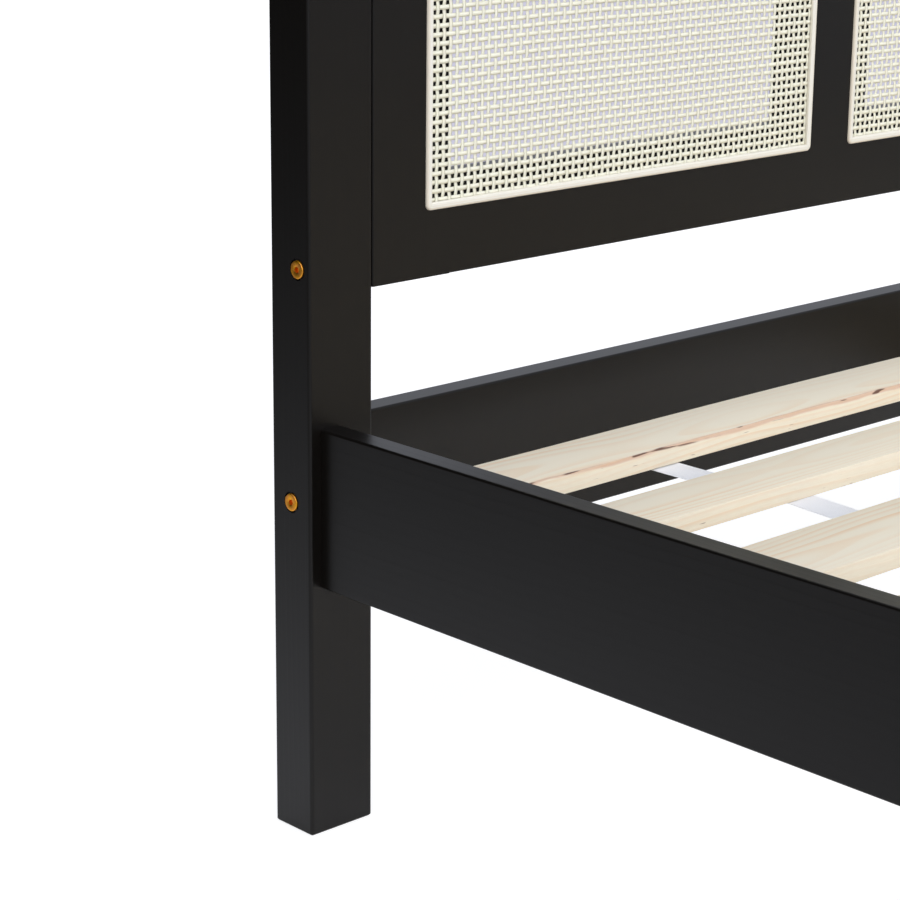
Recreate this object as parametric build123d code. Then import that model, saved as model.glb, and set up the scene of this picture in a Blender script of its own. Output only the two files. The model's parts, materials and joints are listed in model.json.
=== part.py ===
from build123d import *
import os
from collections import namedtuple

# A wooden platform bed with a cane-panelled headboard, in millimetres.
# The bed stands on Z = 0. X runs across the bed, +X to the right of someone
# standing at the foot and facing the headboard. +Y points to the headboard.
# The origin lies on the floor, under the middle of the bed's outer box.

# Overall sizes
overall_width = 1925.0
overall_height = 1120.0
clear_length = 2040.0

# Corner posts and legs
post_width = 70.0
post_depth = 50.0
post_arris = 3.0
post_top_arris = 1.5
post_foot_chamfer = 1.5

# Side rails, and the rails across the head and the foot
rail_height = 141.0
rail_arris = 2.0
side_rail_thickness = 23.0
side_rail_inset = 12.0
side_rail_underside = 227.5
cross_rail_thickness = 25.0
cross_rail_underside = 231.0

# Headboard frame
headboard_underside = 483.0
headboard_thickness = 30.0
frame_arris = 1.5
stile_face = 60.0
mid_stile_face = 60.0
bottom_member_face = 58.0
top_member_face = 58.0
panel_count = 3
cane_ledge = 22.0
bay_corner = 5.0

# Cane sheets and the beads that hold their edges
cane_thickness = 2.0
cane_recess = 1.0
cane_edge_gap = 0.5
net_cells = 17
net_open_share = 0.56
bead_width = 6.5
bead_proud = 2.4
bead_rounding = 1.2
bead_corner_gap = 0.3

# Slats, their webbing and the ledges that carry them
slat_count = 13
slat_thickness = 17.0
slat_widths = (70.0, 63.0, 80.0)
slat_arris = 1.0
slat_end_gap = 3.0
slat_drop = 29.5
first_slat_gap = 102.5
last_slat_gap = 122.5
ledge_width = 25.0
ledge_height = 30.0
ledge_end_gap = 20.0
strap_width = 34.0
strap_thickness = 1.5
strap_inset = 272.0
strap_end_inset = 6.0

# Centre support
beam_width = 45.0
beam_height = 70.0
centre_leg_count = 3
centre_leg_side = 45.0
centre_leg_clearance = 22.0
leg_arris = 2.0
hanger_steel = 2.0
hanger_depth = 40.0
hanger_height = 50.0
hanger_wing = 18.0
hanger_fit = 0.5

# Levelling feet under the centre legs
pad_radius = 16.0
pad_height = 8.0
pad_rounding = 2.0
collar_radius = 9.0
collar_height = 4.0
foot_stud_radius = 4.0
foot_stud_length = 44.0
foot_running_gap = 0.35
insert_radius = 6.0
insert_length = 18.0
stud_bore_spare = 14.0

# Bolts with barrel nuts
bolt_radius = 4.0
bolt_hole_gap = 0.25
bolt_head_radius = 8.5
bolt_head_height = 3.0
bolt_head_proud = 1.0
bolt_head_rounding = 0.8
head_recess_gap = 0.8
socket_across_flats = 5.0
socket_depth = 2.2
barrel_radius = 6.0
barrel_length = 18.0
barrel_fit = 0.1
barrel_reach = 34.0
bolt_past_nut = 12.0
barrel_thread_past = 2.0
bolt_hole_past = 0.5
headboard_bolt_edge = 22.0
side_bolt_edge = 38.5

# Dowels, screws, studs and staples
dowel_radius = 5.0
dowel_length = 50.0
dowel_fit = 0.05
dowel_end_gap = 0.5
dowel_chamfer = 1.0
cross_dowel_edge = 24.5
side_dowel_edge = 15.5
frame_dowel_spread = 34.0
screw_radius = 2.0
screw_length = 38.0
screw_head_radius = 4.0
screw_head_height = 2.4
screw_fit = 0.05
screw_hole_past = 0.5
ledge_screw_count = 7
ledge_screw_end = 90.0
hanger_screw_length = 18.0
hanger_screw_spread = 25.0
leg_stud_radius = 4.0
leg_stud_length = 60.0
leg_stud_fit = 0.1
staple_crown = 12.0
staple_wire = 1.2
staple_leg = 10.0
staple_spread = 18.0

# Places worked out from the sizes above
half_width = overall_width / 2
half_clear = clear_length / 2
half_length = half_clear + post_depth
inner_post_x = half_width - post_width
side_rail_outer = half_width - side_rail_inset
side_rail_inner = side_rail_outer - side_rail_thickness
side_rail_mid_x = side_rail_outer - side_rail_thickness / 2
side_rail_top = side_rail_underside + rail_height
side_rail_mid_z = side_rail_underside + rail_height / 2
cross_rail_top = cross_rail_underside + rail_height
cross_rail_mid_z = cross_rail_underside + rail_height / 2
cross_rail_mid_y = half_clear + post_depth / 2
cross_rail_inner = cross_rail_mid_y - cross_rail_thickness / 2
headboard_mid_y = half_clear + headboard_thickness / 2
headboard_back = half_clear + headboard_thickness
cane_front = half_clear + cane_recess
cane_back = cane_front + cane_thickness
bay_width = (2 * inner_post_x - 2 * stile_face - (panel_count - 1) * mid_stile_face) / panel_count
bay_bottom = headboard_underside + bottom_member_face
bay_top = overall_height - top_member_face
bay_height = bay_top - bay_bottom
slat_top = side_rail_top - slat_drop
slat_underside = slat_top - slat_thickness
slat_half_length = side_rail_inner - slat_end_gap
slat_run = 2 * cross_rail_inner - first_slat_gap - last_slat_gap
last_slat_width = slat_widths[(slat_count - 1) % len(slat_widths)]
slat_pitch = (slat_run - last_slat_width) / (slat_count - 1)
first_slat_y = cross_rail_inner - first_slat_gap
strap_x = half_width - strap_inset
strap_underside = slat_underside - strap_thickness
beam_underside = slat_underside - beam_height
beam_half_length = cross_rail_inner - hanger_steel - hanger_fit
leg_spacing = 2 * half_clear / (centre_leg_count + 1)
side_bolt_reach = rail_height / 2 - side_bolt_edge
side_dowel_reach = rail_height / 2 - side_dowel_edge
cross_dowel_reach = rail_height / 2 - cross_dowel_edge
member_depth = bead_width + cane_ledge
bottom_member_edge = bay_bottom + member_depth
top_member_edge = bay_top - member_depth
stile_edge = inner_post_x - stile_face - member_depth

BoltLine = namedtuple("BoltLine", "head inward grip nut_way nut_depth")
DowelLine = namedtuple("DowelLine", "centre along")


def block(x_limits, y_limits, z_limits):
    """A square block between its limits along X, Y and Z."""
    spans = [sorted(pair) for pair in (x_limits, y_limits, z_limits)]
    sizes = [high - low for low, high in spans]
    middle = [(high + low) / 2 for low, high in spans]
    return Pos(*middle) * Box(*sizes)


def board(x_limits, y_limits, z_limits, axis, arris):
    """A block with its four long edges, which run along axis, rounded."""
    solid = block(x_limits, y_limits, z_limits)
    return fillet(solid.edges().filter_by(axis), arris)


def rod(start, along, radius, length):
    """A round rod that begins at start and runs along a direction."""
    place = Plane(origin=start, z_dir=along)
    low_end = (Align.CENTER, Align.CENTER, Align.MIN)
    return place * Cylinder(radius, length, align=low_end)


def moved(point, along, distance):
    """The point that lies a distance from another along a direction."""
    return tuple(p + a * distance for p, a in zip(point, along))


# Bolts, barrel nuts and dowels

def bolt_lines():
    """Every bolt's line, by the joint that it closes."""
    side_grip = post_width + barrel_reach
    end_grip = post_depth + barrel_reach
    lines = {"headboard": [], "cross_rail": [], "side_rail": []}
    for side in (-1, 1):
        inward = (-side, 0, 0)
        for z in (headboard_underside + headboard_bolt_edge, overall_height - headboard_bolt_edge):
            head = (side * half_width, headboard_mid_y, z)
            lines["headboard"].append(
                BoltLine(head, inward, side_grip, (0, 1, 0), headboard_thickness / 2))
        for end in (-1, 1):
            head = (side * half_width, end * cross_rail_mid_y, cross_rail_mid_z)
            lines["cross_rail"].append(
                BoltLine(head, inward, side_grip, (0, -end, 0), cross_rail_thickness / 2))
            for step in (-1, 1):
                z = side_rail_mid_z + step * side_bolt_reach
                head = (side * side_rail_mid_x, end * half_length, z)
                lines["side_rail"].append(
                    BoltLine(head, (0, -end, 0), end_grip, (-side, 0, 0), side_rail_thickness / 2))
    return lines


def bolt(line):
    """A flat-headed bolt with a hexagon socket, with its head just proud of the wood."""
    seat = moved(line.head, line.inward, bolt_head_height - bolt_head_proud)
    face = moved(line.head, line.inward, -bolt_head_proud)
    head = rod(face, line.inward, bolt_head_radius, bolt_head_height)
    rim = head.edges().sort_by(lambda edge: (edge.center() - Vector(*face)).length)[0]
    head = fillet(rim, bolt_head_rounding)
    place = Plane(origin=face, z_dir=line.inward)
    socket = place * extrude(RegularPolygon(socket_across_flats / 2, 6, major_radius=False), socket_depth)
    length = line.grip + bolt_past_nut - bolt_head_height + bolt_head_proud
    return head + rod(seat, line.inward, bolt_radius, length) - socket


def bolt_hole(line):
    """The hole that a bolt runs in, with the shallow recess for its head."""
    depth = line.grip + bolt_past_nut + bolt_hole_past
    recess = rod(line.head, line.inward, bolt_head_radius + head_recess_gap,
                 bolt_head_height - bolt_head_proud)
    return rod(line.head, line.inward, bolt_radius + bolt_hole_gap, depth) + recess


def barrel_nut(line):
    """The round cross nut that a bolt screws into."""
    middle = moved(line.head, line.inward, line.grip)
    start = moved(middle, line.nut_way, -barrel_length / 2)
    body = rod(start, line.nut_way, barrel_radius, barrel_length)
    reach = barrel_radius + barrel_thread_past
    thread = rod(moved(middle, line.inward, -reach), line.inward, bolt_radius + barrel_fit, 2 * reach)
    return body - thread


def barrel_hole(line):
    """The blind hole, open on the face that a barrel nut goes in by."""
    middle = moved(line.head, line.inward, line.grip)
    start = moved(middle, line.nut_way, -barrel_length / 2)
    return rod(start, line.nut_way, barrel_radius + barrel_fit, barrel_length / 2 + line.nut_depth)


def rail_dowel_lines():
    """The dowels between the posts and the rails."""
    lines = []
    for side in (-1, 1):
        for end in (-1, 1):
            for step in (-1, 1):
                cross_z = cross_rail_mid_z + step * cross_dowel_reach
                side_z = side_rail_mid_z + step * side_dowel_reach
                cross = (side * inner_post_x, end * cross_rail_mid_y, cross_z)
                along_side = (side * side_rail_mid_x, end * half_clear, side_z)
                lines.append(DowelLine(cross, (1, 0, 0)))
                lines.append(DowelLine(along_side, (0, 1, 0)))
    return lines


def frame_dowel_lines():
    """The dowels that join the headboard frame's members."""
    lines = []
    members = ((headboard_underside, bottom_member_edge), (overall_height, top_member_edge))
    for outer_z, inner_z in members:
        for step in (-0.5, 0.5):
            offset = step * frame_dowel_spread
            for side in (-1, 1):
                point = (side * stile_edge, headboard_mid_y, (outer_z + inner_z) / 2 + offset)
                lines.append(DowelLine(point, (1, 0, 0)))
            for x in mid_stile_centres():
                lines.append(DowelLine((x + offset, headboard_mid_y, inner_z), (0, 0, 1)))
    return lines


def dowel(line):
    """A round beech dowel with chamfered ends."""
    start = moved(line.centre, line.along, -dowel_length / 2)
    pin = rod(start, line.along, dowel_radius, dowel_length)
    return chamfer(pin.edges().filter_by(GeomType.CIRCLE), dowel_chamfer)


def dowel_hole(line):
    """The hole for a dowel, through both of the pieces that it joins."""
    reach = dowel_length / 2 + dowel_end_gap
    start = moved(line.centre, line.along, -reach)
    return rod(start, line.along, dowel_radius + dowel_fit, 2 * reach)


def boxed(cutters):
    """Cutters, each with its bounding box."""
    return [(cutter, cutter.bounding_box()) for cutter in cutters]


def cut_near(solid, boxed_cutters):
    """A solid less those of the cutters whose boxes meet its own box."""
    box = solid.bounding_box()
    near = []
    for cutter, other in boxed_cutters:
        apart = (other.min.X > box.max.X or other.max.X < box.min.X
                 or other.min.Y > box.max.Y or other.max.Y < box.min.Y
                 or other.min.Z > box.max.Z or other.max.Z < box.min.Z)
        if not apart:
            near.append(cutter)
    return solid - near if near else solid


# Posts and rails

def corner_post(side, end, top):
    """A corner post or leg, with rounded arrises and a chamfered foot."""
    x_limits = (side * inner_post_x, side * half_width)
    y_limits = (end * half_clear, end * half_length)
    post = board(x_limits, y_limits, (0, top), Axis.Z, post_arris)
    post = fillet(post.faces().sort_by(Axis.Z)[-1].edges(), post_top_arris)
    return chamfer(post.faces().sort_by(Axis.Z)[0].edges(), post_foot_chamfer)


def side_rail(side):
    """A side rail between the head post and the foot leg of one side."""
    x_limits = (side * side_rail_inner, side * side_rail_outer)
    z_limits = (side_rail_underside, side_rail_top)
    return board(x_limits, (-half_clear, half_clear), z_limits, Axis.Y, rail_arris)


def cross_rail(end):
    """The rail across the head or the foot, in the middle of the posts' depth."""
    y_middle = end * cross_rail_mid_y
    y_limits = (y_middle - cross_rail_thickness / 2, y_middle + cross_rail_thickness / 2)
    z_limits = (cross_rail_underside, cross_rail_top)
    return board((-inner_post_x, inner_post_x), y_limits, z_limits, Axis.X, rail_arris)


# Headboard

def bay_centres():
    """The middle of each cane bay along X."""
    pitch = bay_width + mid_stile_face
    return [(i - (panel_count - 1) / 2) * pitch for i in range(panel_count)]


def mid_stile_centres():
    """The middle of each stile between two bays along X."""
    pitch = bay_width + mid_stile_face
    return [(i - (panel_count - 2) / 2) * pitch for i in range(panel_count - 1)]


def bay_plane(y):
    """The upright plane at one depth, facing forward, centred on the middle bay."""
    return Plane(origin=(0, y, (bay_bottom + bay_top) / 2), x_dir=(1, 0, 0), z_dir=(0, -1, 0))


def bay_rebates():
    """The shallow recesses in the frame's face that take the cane and the beads."""
    outline = RectangleRounded(bay_width, bay_height, bay_corner)
    recess = bay_plane(cane_back) * extrude(outline, cane_thickness + cane_recess)
    return [Pos(x, 0, 0) * recess for x in bay_centres()]


def outer_rounded(member, axis):
    """A headboard member with the two long edges on its highest side along an axis rounded."""
    outer_face = member.faces().sort_by(axis)[-1]
    long_edges = outer_face.edges().sort_by(SortBy.LENGTH)[-2:]
    return fillet(long_edges, frame_arris)


def headboard_members():
    """The stiles, the mid stiles and the top and bottom members, by name."""
    y_limits = (half_clear, headboard_back)
    full_height = (headboard_underside, overall_height)
    across = (-stile_edge, stile_edge)
    members = {}
    for side, name in ((-1, "left"), (1, "right")):
        stile = block((side * stile_edge, side * inner_post_x), y_limits, full_height)
        outward = Axis((0, 0, 0), (side, 0, 0))
        members["headboard_stile_" + name] = outer_rounded(stile, outward)
    bottom = block(across, y_limits, (headboard_underside, bottom_member_edge))
    top = block(across, y_limits, (top_member_edge, overall_height))
    members["headboard_bottom_member"] = outer_rounded(bottom, -Axis.Z)
    members["headboard_top_member"] = outer_rounded(top, Axis.Z)
    for i, x in enumerate(mid_stile_centres(), 1):
        reach = mid_stile_face / 2 + member_depth
        members[f"headboard_mid_stile_{i}"] = block(
            (x - reach, x + reach), y_limits, (bottom_member_edge, top_member_edge))
    return members


def cane_sheet():
    """The middle bay's sheet of open cane mesh, drawn as one holed face with a coarse grid."""
    width = bay_width - 2 * cane_edge_gap
    height = bay_height - 2 * cane_edge_gap
    border = bead_width - cane_edge_gap
    x_pitch = (width - 2 * border) / net_cells
    z_pitch = (height - 2 * border) / net_cells
    hole = Rectangle(x_pitch * net_open_share, z_pitch * net_open_share)
    sheet = RectangleRounded(width, height, bay_corner)
    face = sheet - GridLocations(x_pitch, z_pitch, net_cells, net_cells) * hole
    return bay_plane(cane_back) * extrude(face, cane_thickness)


def bead_strip(length):
    """One mitred bead, its long outer edge down and its back on the XY plane."""
    half = length / 2
    outline = Polyline((-half, 0), (half, 0), (half - bead_width, bead_width),
                       (bead_width - half, bead_width), close=True)
    strip = extrude(make_face(outline), cane_recess + bead_proud)
    front = strip.faces().sort_by(Axis.Z)[-1]
    long_edges = front.edges().filter_by(Axis.X)
    return fillet(long_edges, bead_rounding)


def bay_beads():
    """The four mitred beads round the middle bay's cane sheet, with rounded outer corners."""
    outline = RectangleRounded(bay_width, bay_height, bay_corner + bead_corner_gap)
    rounded = extrude(outline, cane_recess + bead_proud)
    strips = []
    for turn in range(4):
        upright = turn % 2 == 1
        length = bay_height if upright else bay_width
        reach = bay_width / 2 if upright else bay_height / 2
        strip = Rot(0, 0, 90 * turn) * Pos(0, -reach, 0) * bead_strip(length)
        strips.append(bay_plane(cane_front) * (strip & rounded))
    return Compound(strips)


# Slats

def slat_limits(i):
    """The near and far limits of a slat along Y, counted from the head."""
    far = first_slat_y - i * slat_pitch
    return far - slat_widths[i % len(slat_widths)], far


def staple_places():
    """Where the staples go: two to each strap under each slat."""
    places = []
    for i in range(slat_count):
        near, far = slat_limits(i)
        for side in (-1, 1):
            for step in (-0.5, 0.5):
                places.append((side * strap_x, (near + far) / 2 + step * staple_spread))
    return places


def staple_legs(x, y, top, bottom):
    """The two legs of a staple, between two heights."""
    reach = staple_crown / 2
    legs = []
    for side in (-1, 1):
        x_limits = (x + side * reach, x + side * (reach - staple_wire))
        legs.append(block(x_limits, (y - staple_wire / 2, y + staple_wire / 2), (bottom, top)))
    return legs


def staple(x, y):
    """A wire staple driven up through the strap into its slat."""
    y_limits = (y - staple_wire / 2, y + staple_wire / 2)
    crown_bottom = strap_underside - staple_wire
    crown = block((x - staple_crown / 2, x + staple_crown / 2), y_limits, (crown_bottom, strap_underside))
    return crown + staple_legs(x, y, slat_underside + staple_leg, strap_underside)


def slat(i):
    """One pine slat across the bed."""
    z_limits = (slat_underside, slat_top)
    plank = board((-slat_half_length, slat_half_length), slat_limits(i), z_limits, Axis.X, slat_arris)
    near, far = slat_limits(i)
    cutters = []
    for x, y in staple_places():
        if near < y < far:
            cutters += staple_legs(x, y, slat_underside + staple_leg, strap_underside)
    return plank - cutters


def strap(side):
    """The webbing that keeps the slats apart, along one side."""
    x = side * strap_x
    first = slat_limits(0)[1] - strap_end_inset
    last = slat_limits(slat_count - 1)[0] + strap_end_inset
    web = block((x - strap_width / 2, x + strap_width / 2), (last, first), (strap_underside, slat_underside))
    cutters = []
    for place_x, y in staple_places():
        if place_x * side > 0:
            cutters += staple_legs(place_x, y, slat_underside + staple_leg, strap_underside)
    return web - cutters


def screw(head, inward, length):
    """A countersunk wood screw, flush with the face that it is driven from."""
    place = Plane(origin=head, z_dir=inward)
    low_end = (Align.CENTER, Align.CENTER, Align.MIN)
    cone = place * Cone(screw_head_radius, screw_radius, screw_head_height, align=low_end)
    return cone + rod(head, inward, screw_radius, length)


def screw_hole(head, inward, length):
    """The hole that a countersunk screw fills."""
    place = Plane(origin=head, z_dir=inward)
    low_end = (Align.CENTER, Align.CENTER, Align.MIN)
    cone = place * Cone(screw_head_radius + screw_fit, screw_radius + screw_fit,
                        screw_head_height, align=low_end)
    return cone + rod(head, inward, screw_radius + screw_fit, length + screw_hole_past)


def ledge_screw_heads(side):
    """Where the screws go into one ledge."""
    x = side * (side_rail_inner - ledge_width)
    z = slat_underside - ledge_height / 2
    reach = half_clear - ledge_end_gap - ledge_screw_end
    step = 2 * reach / (ledge_screw_count - 1)
    return [(x, -reach + i * step, z) for i in range(ledge_screw_count)]


def ledge(side):
    """The batten along a side rail that the slats lie on."""
    x_limits = (side * side_rail_inner, side * (side_rail_inner - ledge_width))
    y_reach = half_clear - ledge_end_gap
    z_limits = (slat_underside - ledge_height, slat_underside)
    return board(x_limits, (-y_reach, y_reach), z_limits, Axis.Y, slat_arris)


# Centre support

def beam_hanger(end):
    """A folded steel shoe on a cross rail, which holds an end of the beam."""
    back = end * cross_rail_inner
    inner = beam_width / 2 + hanger_fit
    outer = inner + hanger_steel
    floor_top = beam_underside
    floor_bottom = floor_top - hanger_steel
    rim = floor_top + hanger_height
    plate_face = back - end * hanger_steel
    mouth = back - end * hanger_depth
    plate = block((-outer - hanger_wing, outer + hanger_wing), (back, plate_face), (floor_bottom, rim))
    floor = block((-outer, outer), (plate_face, mouth), (floor_bottom, floor_top))
    shoe = plate + floor
    for side in (-1, 1):
        shoe = shoe + block((side * inner, side * outer), (plate_face, mouth), (floor_top, rim))
    return shoe


def hanger_screw_heads(end):
    """Where the screws go through a shoe's wings."""
    x = beam_width / 2 + hanger_fit + hanger_steel + hanger_wing / 2
    heads = []
    for side in (-1, 1):
        for step in (-0.5, 0.5):
            z = beam_underside + hanger_height / 2 + step * hanger_screw_spread
            heads.append((side * x, end * (cross_rail_inner - hanger_steel), z))
    return heads


def centre_beam():
    """The beam along the middle of the bed, under the slats."""
    x_limits = (-beam_width / 2, beam_width / 2)
    z_limits = (beam_underside, slat_underside)
    return board(x_limits, (-beam_half_length, beam_half_length), z_limits, Axis.Y, slat_arris)


def leg_places():
    """The centre legs' places along Y, from the head to the foot."""
    return [half_clear - (i + 1) * leg_spacing for i in range(centre_leg_count)]


def centre_leg(y):
    """A square leg under the centre beam, bored for its levelling foot."""
    half = centre_leg_side / 2
    z_limits = (centre_leg_clearance, beam_underside)
    leg = board((-half, half), (y - half, y + half), z_limits, Axis.Z, leg_arris)
    bottom = (0, y, centre_leg_clearance)
    bore_depth = foot_stud_length - centre_leg_clearance + stud_bore_spare
    seat = rod(bottom, (0, 0, 1), insert_radius, insert_length)
    bore = rod(bottom, (0, 0, 1), foot_stud_radius + foot_running_gap, bore_depth + pad_height + collar_height)
    return leg - seat - bore


def foot_insert(y):
    """The threaded steel insert in the bottom of a centre leg."""
    bottom = (0, y, centre_leg_clearance)
    sleeve = rod(bottom, (0, 0, 1), insert_radius, insert_length)
    return sleeve - rod(bottom, (0, 0, 1), foot_stud_radius + foot_running_gap, insert_length)


def levelling_foot(y):
    """A nylon pad with a spanner collar and a stud that screws into the leg."""
    pad = rod((0, y, 0), (0, 0, 1), pad_radius, pad_height)
    pad = fillet(pad.edges().filter_by(GeomType.CIRCLE).sort_by(Axis.Z)[-1], pad_rounding)
    collar_place = Plane(origin=(0, y, pad_height))
    collar = collar_place * extrude(RegularPolygon(collar_radius, 6), collar_height)
    stud = rod((0, y, pad_height + collar_height), (0, 0, 1), foot_stud_radius, foot_stud_length)
    return pad + collar + stud


def leg_stud(y, gap=0.0):
    """The stud between the beam and a centre leg, or its hole where a gap is given."""
    length = leg_stud_length + 2 * gap
    start = (0, y, beam_underside - length / 2)
    return rod(start, (0, 0, 1), leg_stud_radius + gap, length)


# The assembly

def make_pieces():
    """Every piece of the bed, by name."""
    bolts = bolt_lines()
    all_bolts = [line for group in bolts.values() for line in group]
    rail_dowels = rail_dowel_lines()
    frame_dowels = frame_dowel_lines()
    ledge_screws = [(head, side) for side in (-1, 1) for head in ledge_screw_heads(side)]
    hanger_screws = [(head, end) for end in (-1, 1) for head in hanger_screw_heads(end)]
    bolt_cutters = boxed([bolt_hole(line) for line in all_bolts])
    nut_cutters = boxed([barrel_hole(line) for line in all_bolts])
    rail_dowel_cutters = boxed([dowel_hole(line) for line in rail_dowels])
    frame_dowel_cutters = boxed([dowel_hole(line) for line in frame_dowels])
    ledge_screw_cutters = boxed(
        [screw_hole(head, (side, 0, 0), screw_length) for head, side in ledge_screws])
    hanger_screw_cutters = boxed(
        [screw_hole(head, (0, end, 0), hanger_screw_length) for head, end in hanger_screws])
    leg_stud_cutters = boxed([leg_stud(y, leg_stud_fit) for y in leg_places()])
    post_cutters = bolt_cutters + rail_dowel_cutters
    rail_cutters = post_cutters + nut_cutters
    pieces = {}

    for side, name in ((-1, "left"), (1, "right")):
        pieces["head_post_" + name] = cut_near(corner_post(side, 1, overall_height), post_cutters)
        pieces["foot_leg_" + name] = cut_near(corner_post(side, -1, cross_rail_top), post_cutters)
        pieces["side_rail_" + name] = cut_near(side_rail(side), rail_cutters + ledge_screw_cutters)
        pieces["slat_ledge_" + name] = cut_near(ledge(side), ledge_screw_cutters)
        pieces["slat_strap_" + name] = strap(side)
    for end, name in ((1, "head_rail"), (-1, "foot_rail")):
        pieces[name] = cut_near(cross_rail(end), rail_cutters + hanger_screw_cutters)

    member_cutters = boxed(bay_rebates()) + bolt_cutters + nut_cutters + frame_dowel_cutters
    for name, member in headboard_members().items():
        pieces[name] = cut_near(member, member_cutters)
    sheet = cane_sheet()
    beads = bay_beads()
    for i, x in enumerate(bay_centres(), 1):
        pieces[f"cane_panel_{i}"] = Pos(x, 0, 0) * sheet
        pieces[f"cane_beads_{i}"] = Pos(x, 0, 0) * beads

    for i in range(slat_count):
        pieces[f"slat_{i + 1:02d}"] = slat(i)

    pieces["centre_beam"] = cut_near(centre_beam(), leg_stud_cutters)
    for end, name in ((1, "beam_hanger_head"), (-1, "beam_hanger_foot")):
        pieces[name] = cut_near(beam_hanger(end), hanger_screw_cutters)
    for i, y in enumerate(leg_places(), 1):
        pieces[f"centre_leg_{i}"] = cut_near(centre_leg(y), leg_stud_cutters)
        pieces[f"levelling_foot_{i}"] = levelling_foot(y)

    for joint, lines in bolts.items():
        pieces[joint + "_bolts"] = Compound([bolt(line) for line in lines])
    pieces["barrel_nuts"] = Compound([barrel_nut(line) for line in all_bolts])
    pieces["rail_dowels"] = Compound([dowel(line) for line in rail_dowels])
    pieces["headboard_dowels"] = Compound([dowel(line) for line in frame_dowels])
    pieces["ledge_screws"] = Compound([screw(head, (side, 0, 0), screw_length) for head, side in ledge_screws])
    pieces["hanger_screws"] = Compound(
        [screw(head, (0, end, 0), hanger_screw_length) for head, end in hanger_screws])
    pieces["leg_studs"] = Compound([leg_stud(y) for y in leg_places()])
    pieces["foot_inserts"] = Compound([foot_insert(y) for y in leg_places()])
    pieces["strap_staples"] = Compound([staple(x, y) for x, y in staple_places()])
    return pieces


os.makedirs("parts", exist_ok=True)
for piece_name, piece in make_pieces().items():
    export_step(piece, f"parts/{piece_name}.step")
print(f"slat pitch {slat_pitch:.1f}, cane bay {bay_width:.1f} by {bay_height:.1f}")
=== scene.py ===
import json
import math
import random

import bmesh
import bpy
from bpy.props import FloatProperty, FloatVectorProperty, IntProperty, PointerProperty
from mathutils import Matrix, Vector

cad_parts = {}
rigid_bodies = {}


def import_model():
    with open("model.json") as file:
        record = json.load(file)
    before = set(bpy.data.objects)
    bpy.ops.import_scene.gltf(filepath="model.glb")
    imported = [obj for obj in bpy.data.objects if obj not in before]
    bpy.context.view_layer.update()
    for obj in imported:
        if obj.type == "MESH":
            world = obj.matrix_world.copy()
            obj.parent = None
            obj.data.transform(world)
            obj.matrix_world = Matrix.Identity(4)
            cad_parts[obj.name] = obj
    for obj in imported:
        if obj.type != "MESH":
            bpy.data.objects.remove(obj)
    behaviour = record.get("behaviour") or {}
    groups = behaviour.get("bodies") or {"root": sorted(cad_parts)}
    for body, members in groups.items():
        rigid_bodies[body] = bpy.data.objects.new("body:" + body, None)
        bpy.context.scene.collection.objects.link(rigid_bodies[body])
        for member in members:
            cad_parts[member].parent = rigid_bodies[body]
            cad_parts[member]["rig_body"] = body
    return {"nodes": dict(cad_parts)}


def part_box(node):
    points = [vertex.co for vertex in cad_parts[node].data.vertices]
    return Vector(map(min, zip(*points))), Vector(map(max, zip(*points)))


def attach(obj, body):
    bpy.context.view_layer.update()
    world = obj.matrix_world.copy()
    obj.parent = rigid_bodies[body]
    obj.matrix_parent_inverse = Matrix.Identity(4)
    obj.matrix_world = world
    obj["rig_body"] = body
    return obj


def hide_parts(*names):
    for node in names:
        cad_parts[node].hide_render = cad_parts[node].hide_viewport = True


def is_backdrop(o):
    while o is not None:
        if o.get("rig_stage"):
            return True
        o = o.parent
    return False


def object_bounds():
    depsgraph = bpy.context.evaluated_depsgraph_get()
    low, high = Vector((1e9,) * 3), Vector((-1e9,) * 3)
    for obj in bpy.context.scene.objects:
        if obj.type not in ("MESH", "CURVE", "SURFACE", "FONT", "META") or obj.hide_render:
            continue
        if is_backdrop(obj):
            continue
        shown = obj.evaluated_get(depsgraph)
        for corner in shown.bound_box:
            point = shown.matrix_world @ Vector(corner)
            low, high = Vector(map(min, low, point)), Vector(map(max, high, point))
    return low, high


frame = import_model()

bl_info = {
    "name": "Platform bed dresser",
    "version": (1, 0, 0),
    "blender": (4, 5, 0),
    "location": "View3D > Sidebar > Platform bed",
    "description": "Gives the platform bed its lacquer, pine slats, woven cane, webbing and hardware",
    "category": "Object",
}

# Places and sizes read from the frame

WELD = 1e-6
MM = 0.001


def family(start, digits):
    """The frame's nodes whose names are a start followed by a number of so many digits."""
    names = (name for name in frame["nodes"] if name[:-digits] == start)
    return sorted(name for name in names if name[-digits:].isdigit())


SLATS = family("slat_", 2)
CANE_PANELS = family("cane_panel_", 1)
CANE_BEADS = family("cane_beads_", 1)
CENTRE_LEGS = family("centre_leg_", 1)
LEVELLING_FEET = family("levelling_foot_", 1)


def middle(node):
    """The middle of a CAD node's box."""
    low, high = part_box(node)
    return (low + high) / 2


def extent(node):
    """The three sides of a CAD node's box."""
    low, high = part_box(node)
    return high - low


def solid_boxes(node):
    """The lowest and highest corner of each separate solid of a CAD node."""
    mesh = bmesh.new()
    mesh.from_mesh(frame["nodes"][node].data)
    bmesh.ops.remove_doubles(mesh, verts=mesh.verts, dist=WELD)
    unseen = set(mesh.verts)
    boxes = []
    while unseen:
        reached = [unseen.pop()]
        corners = []
        while reached:
            vertex = reached.pop()
            corners.append(vertex.co.copy())
            near = {edge.other_vert(vertex) for edge in vertex.link_edges} & unseen
            unseen -= near
            reached.extend(near)
        low = Vector([min(c[i] for c in corners) for i in range(3)])
        high = Vector([max(c[i] for c in corners) for i in range(3)])
        boxes.append((low, high))
    mesh.free()
    return sorted(boxes, key=lambda box: tuple(round(value, 4) for value in box[0]))


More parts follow.
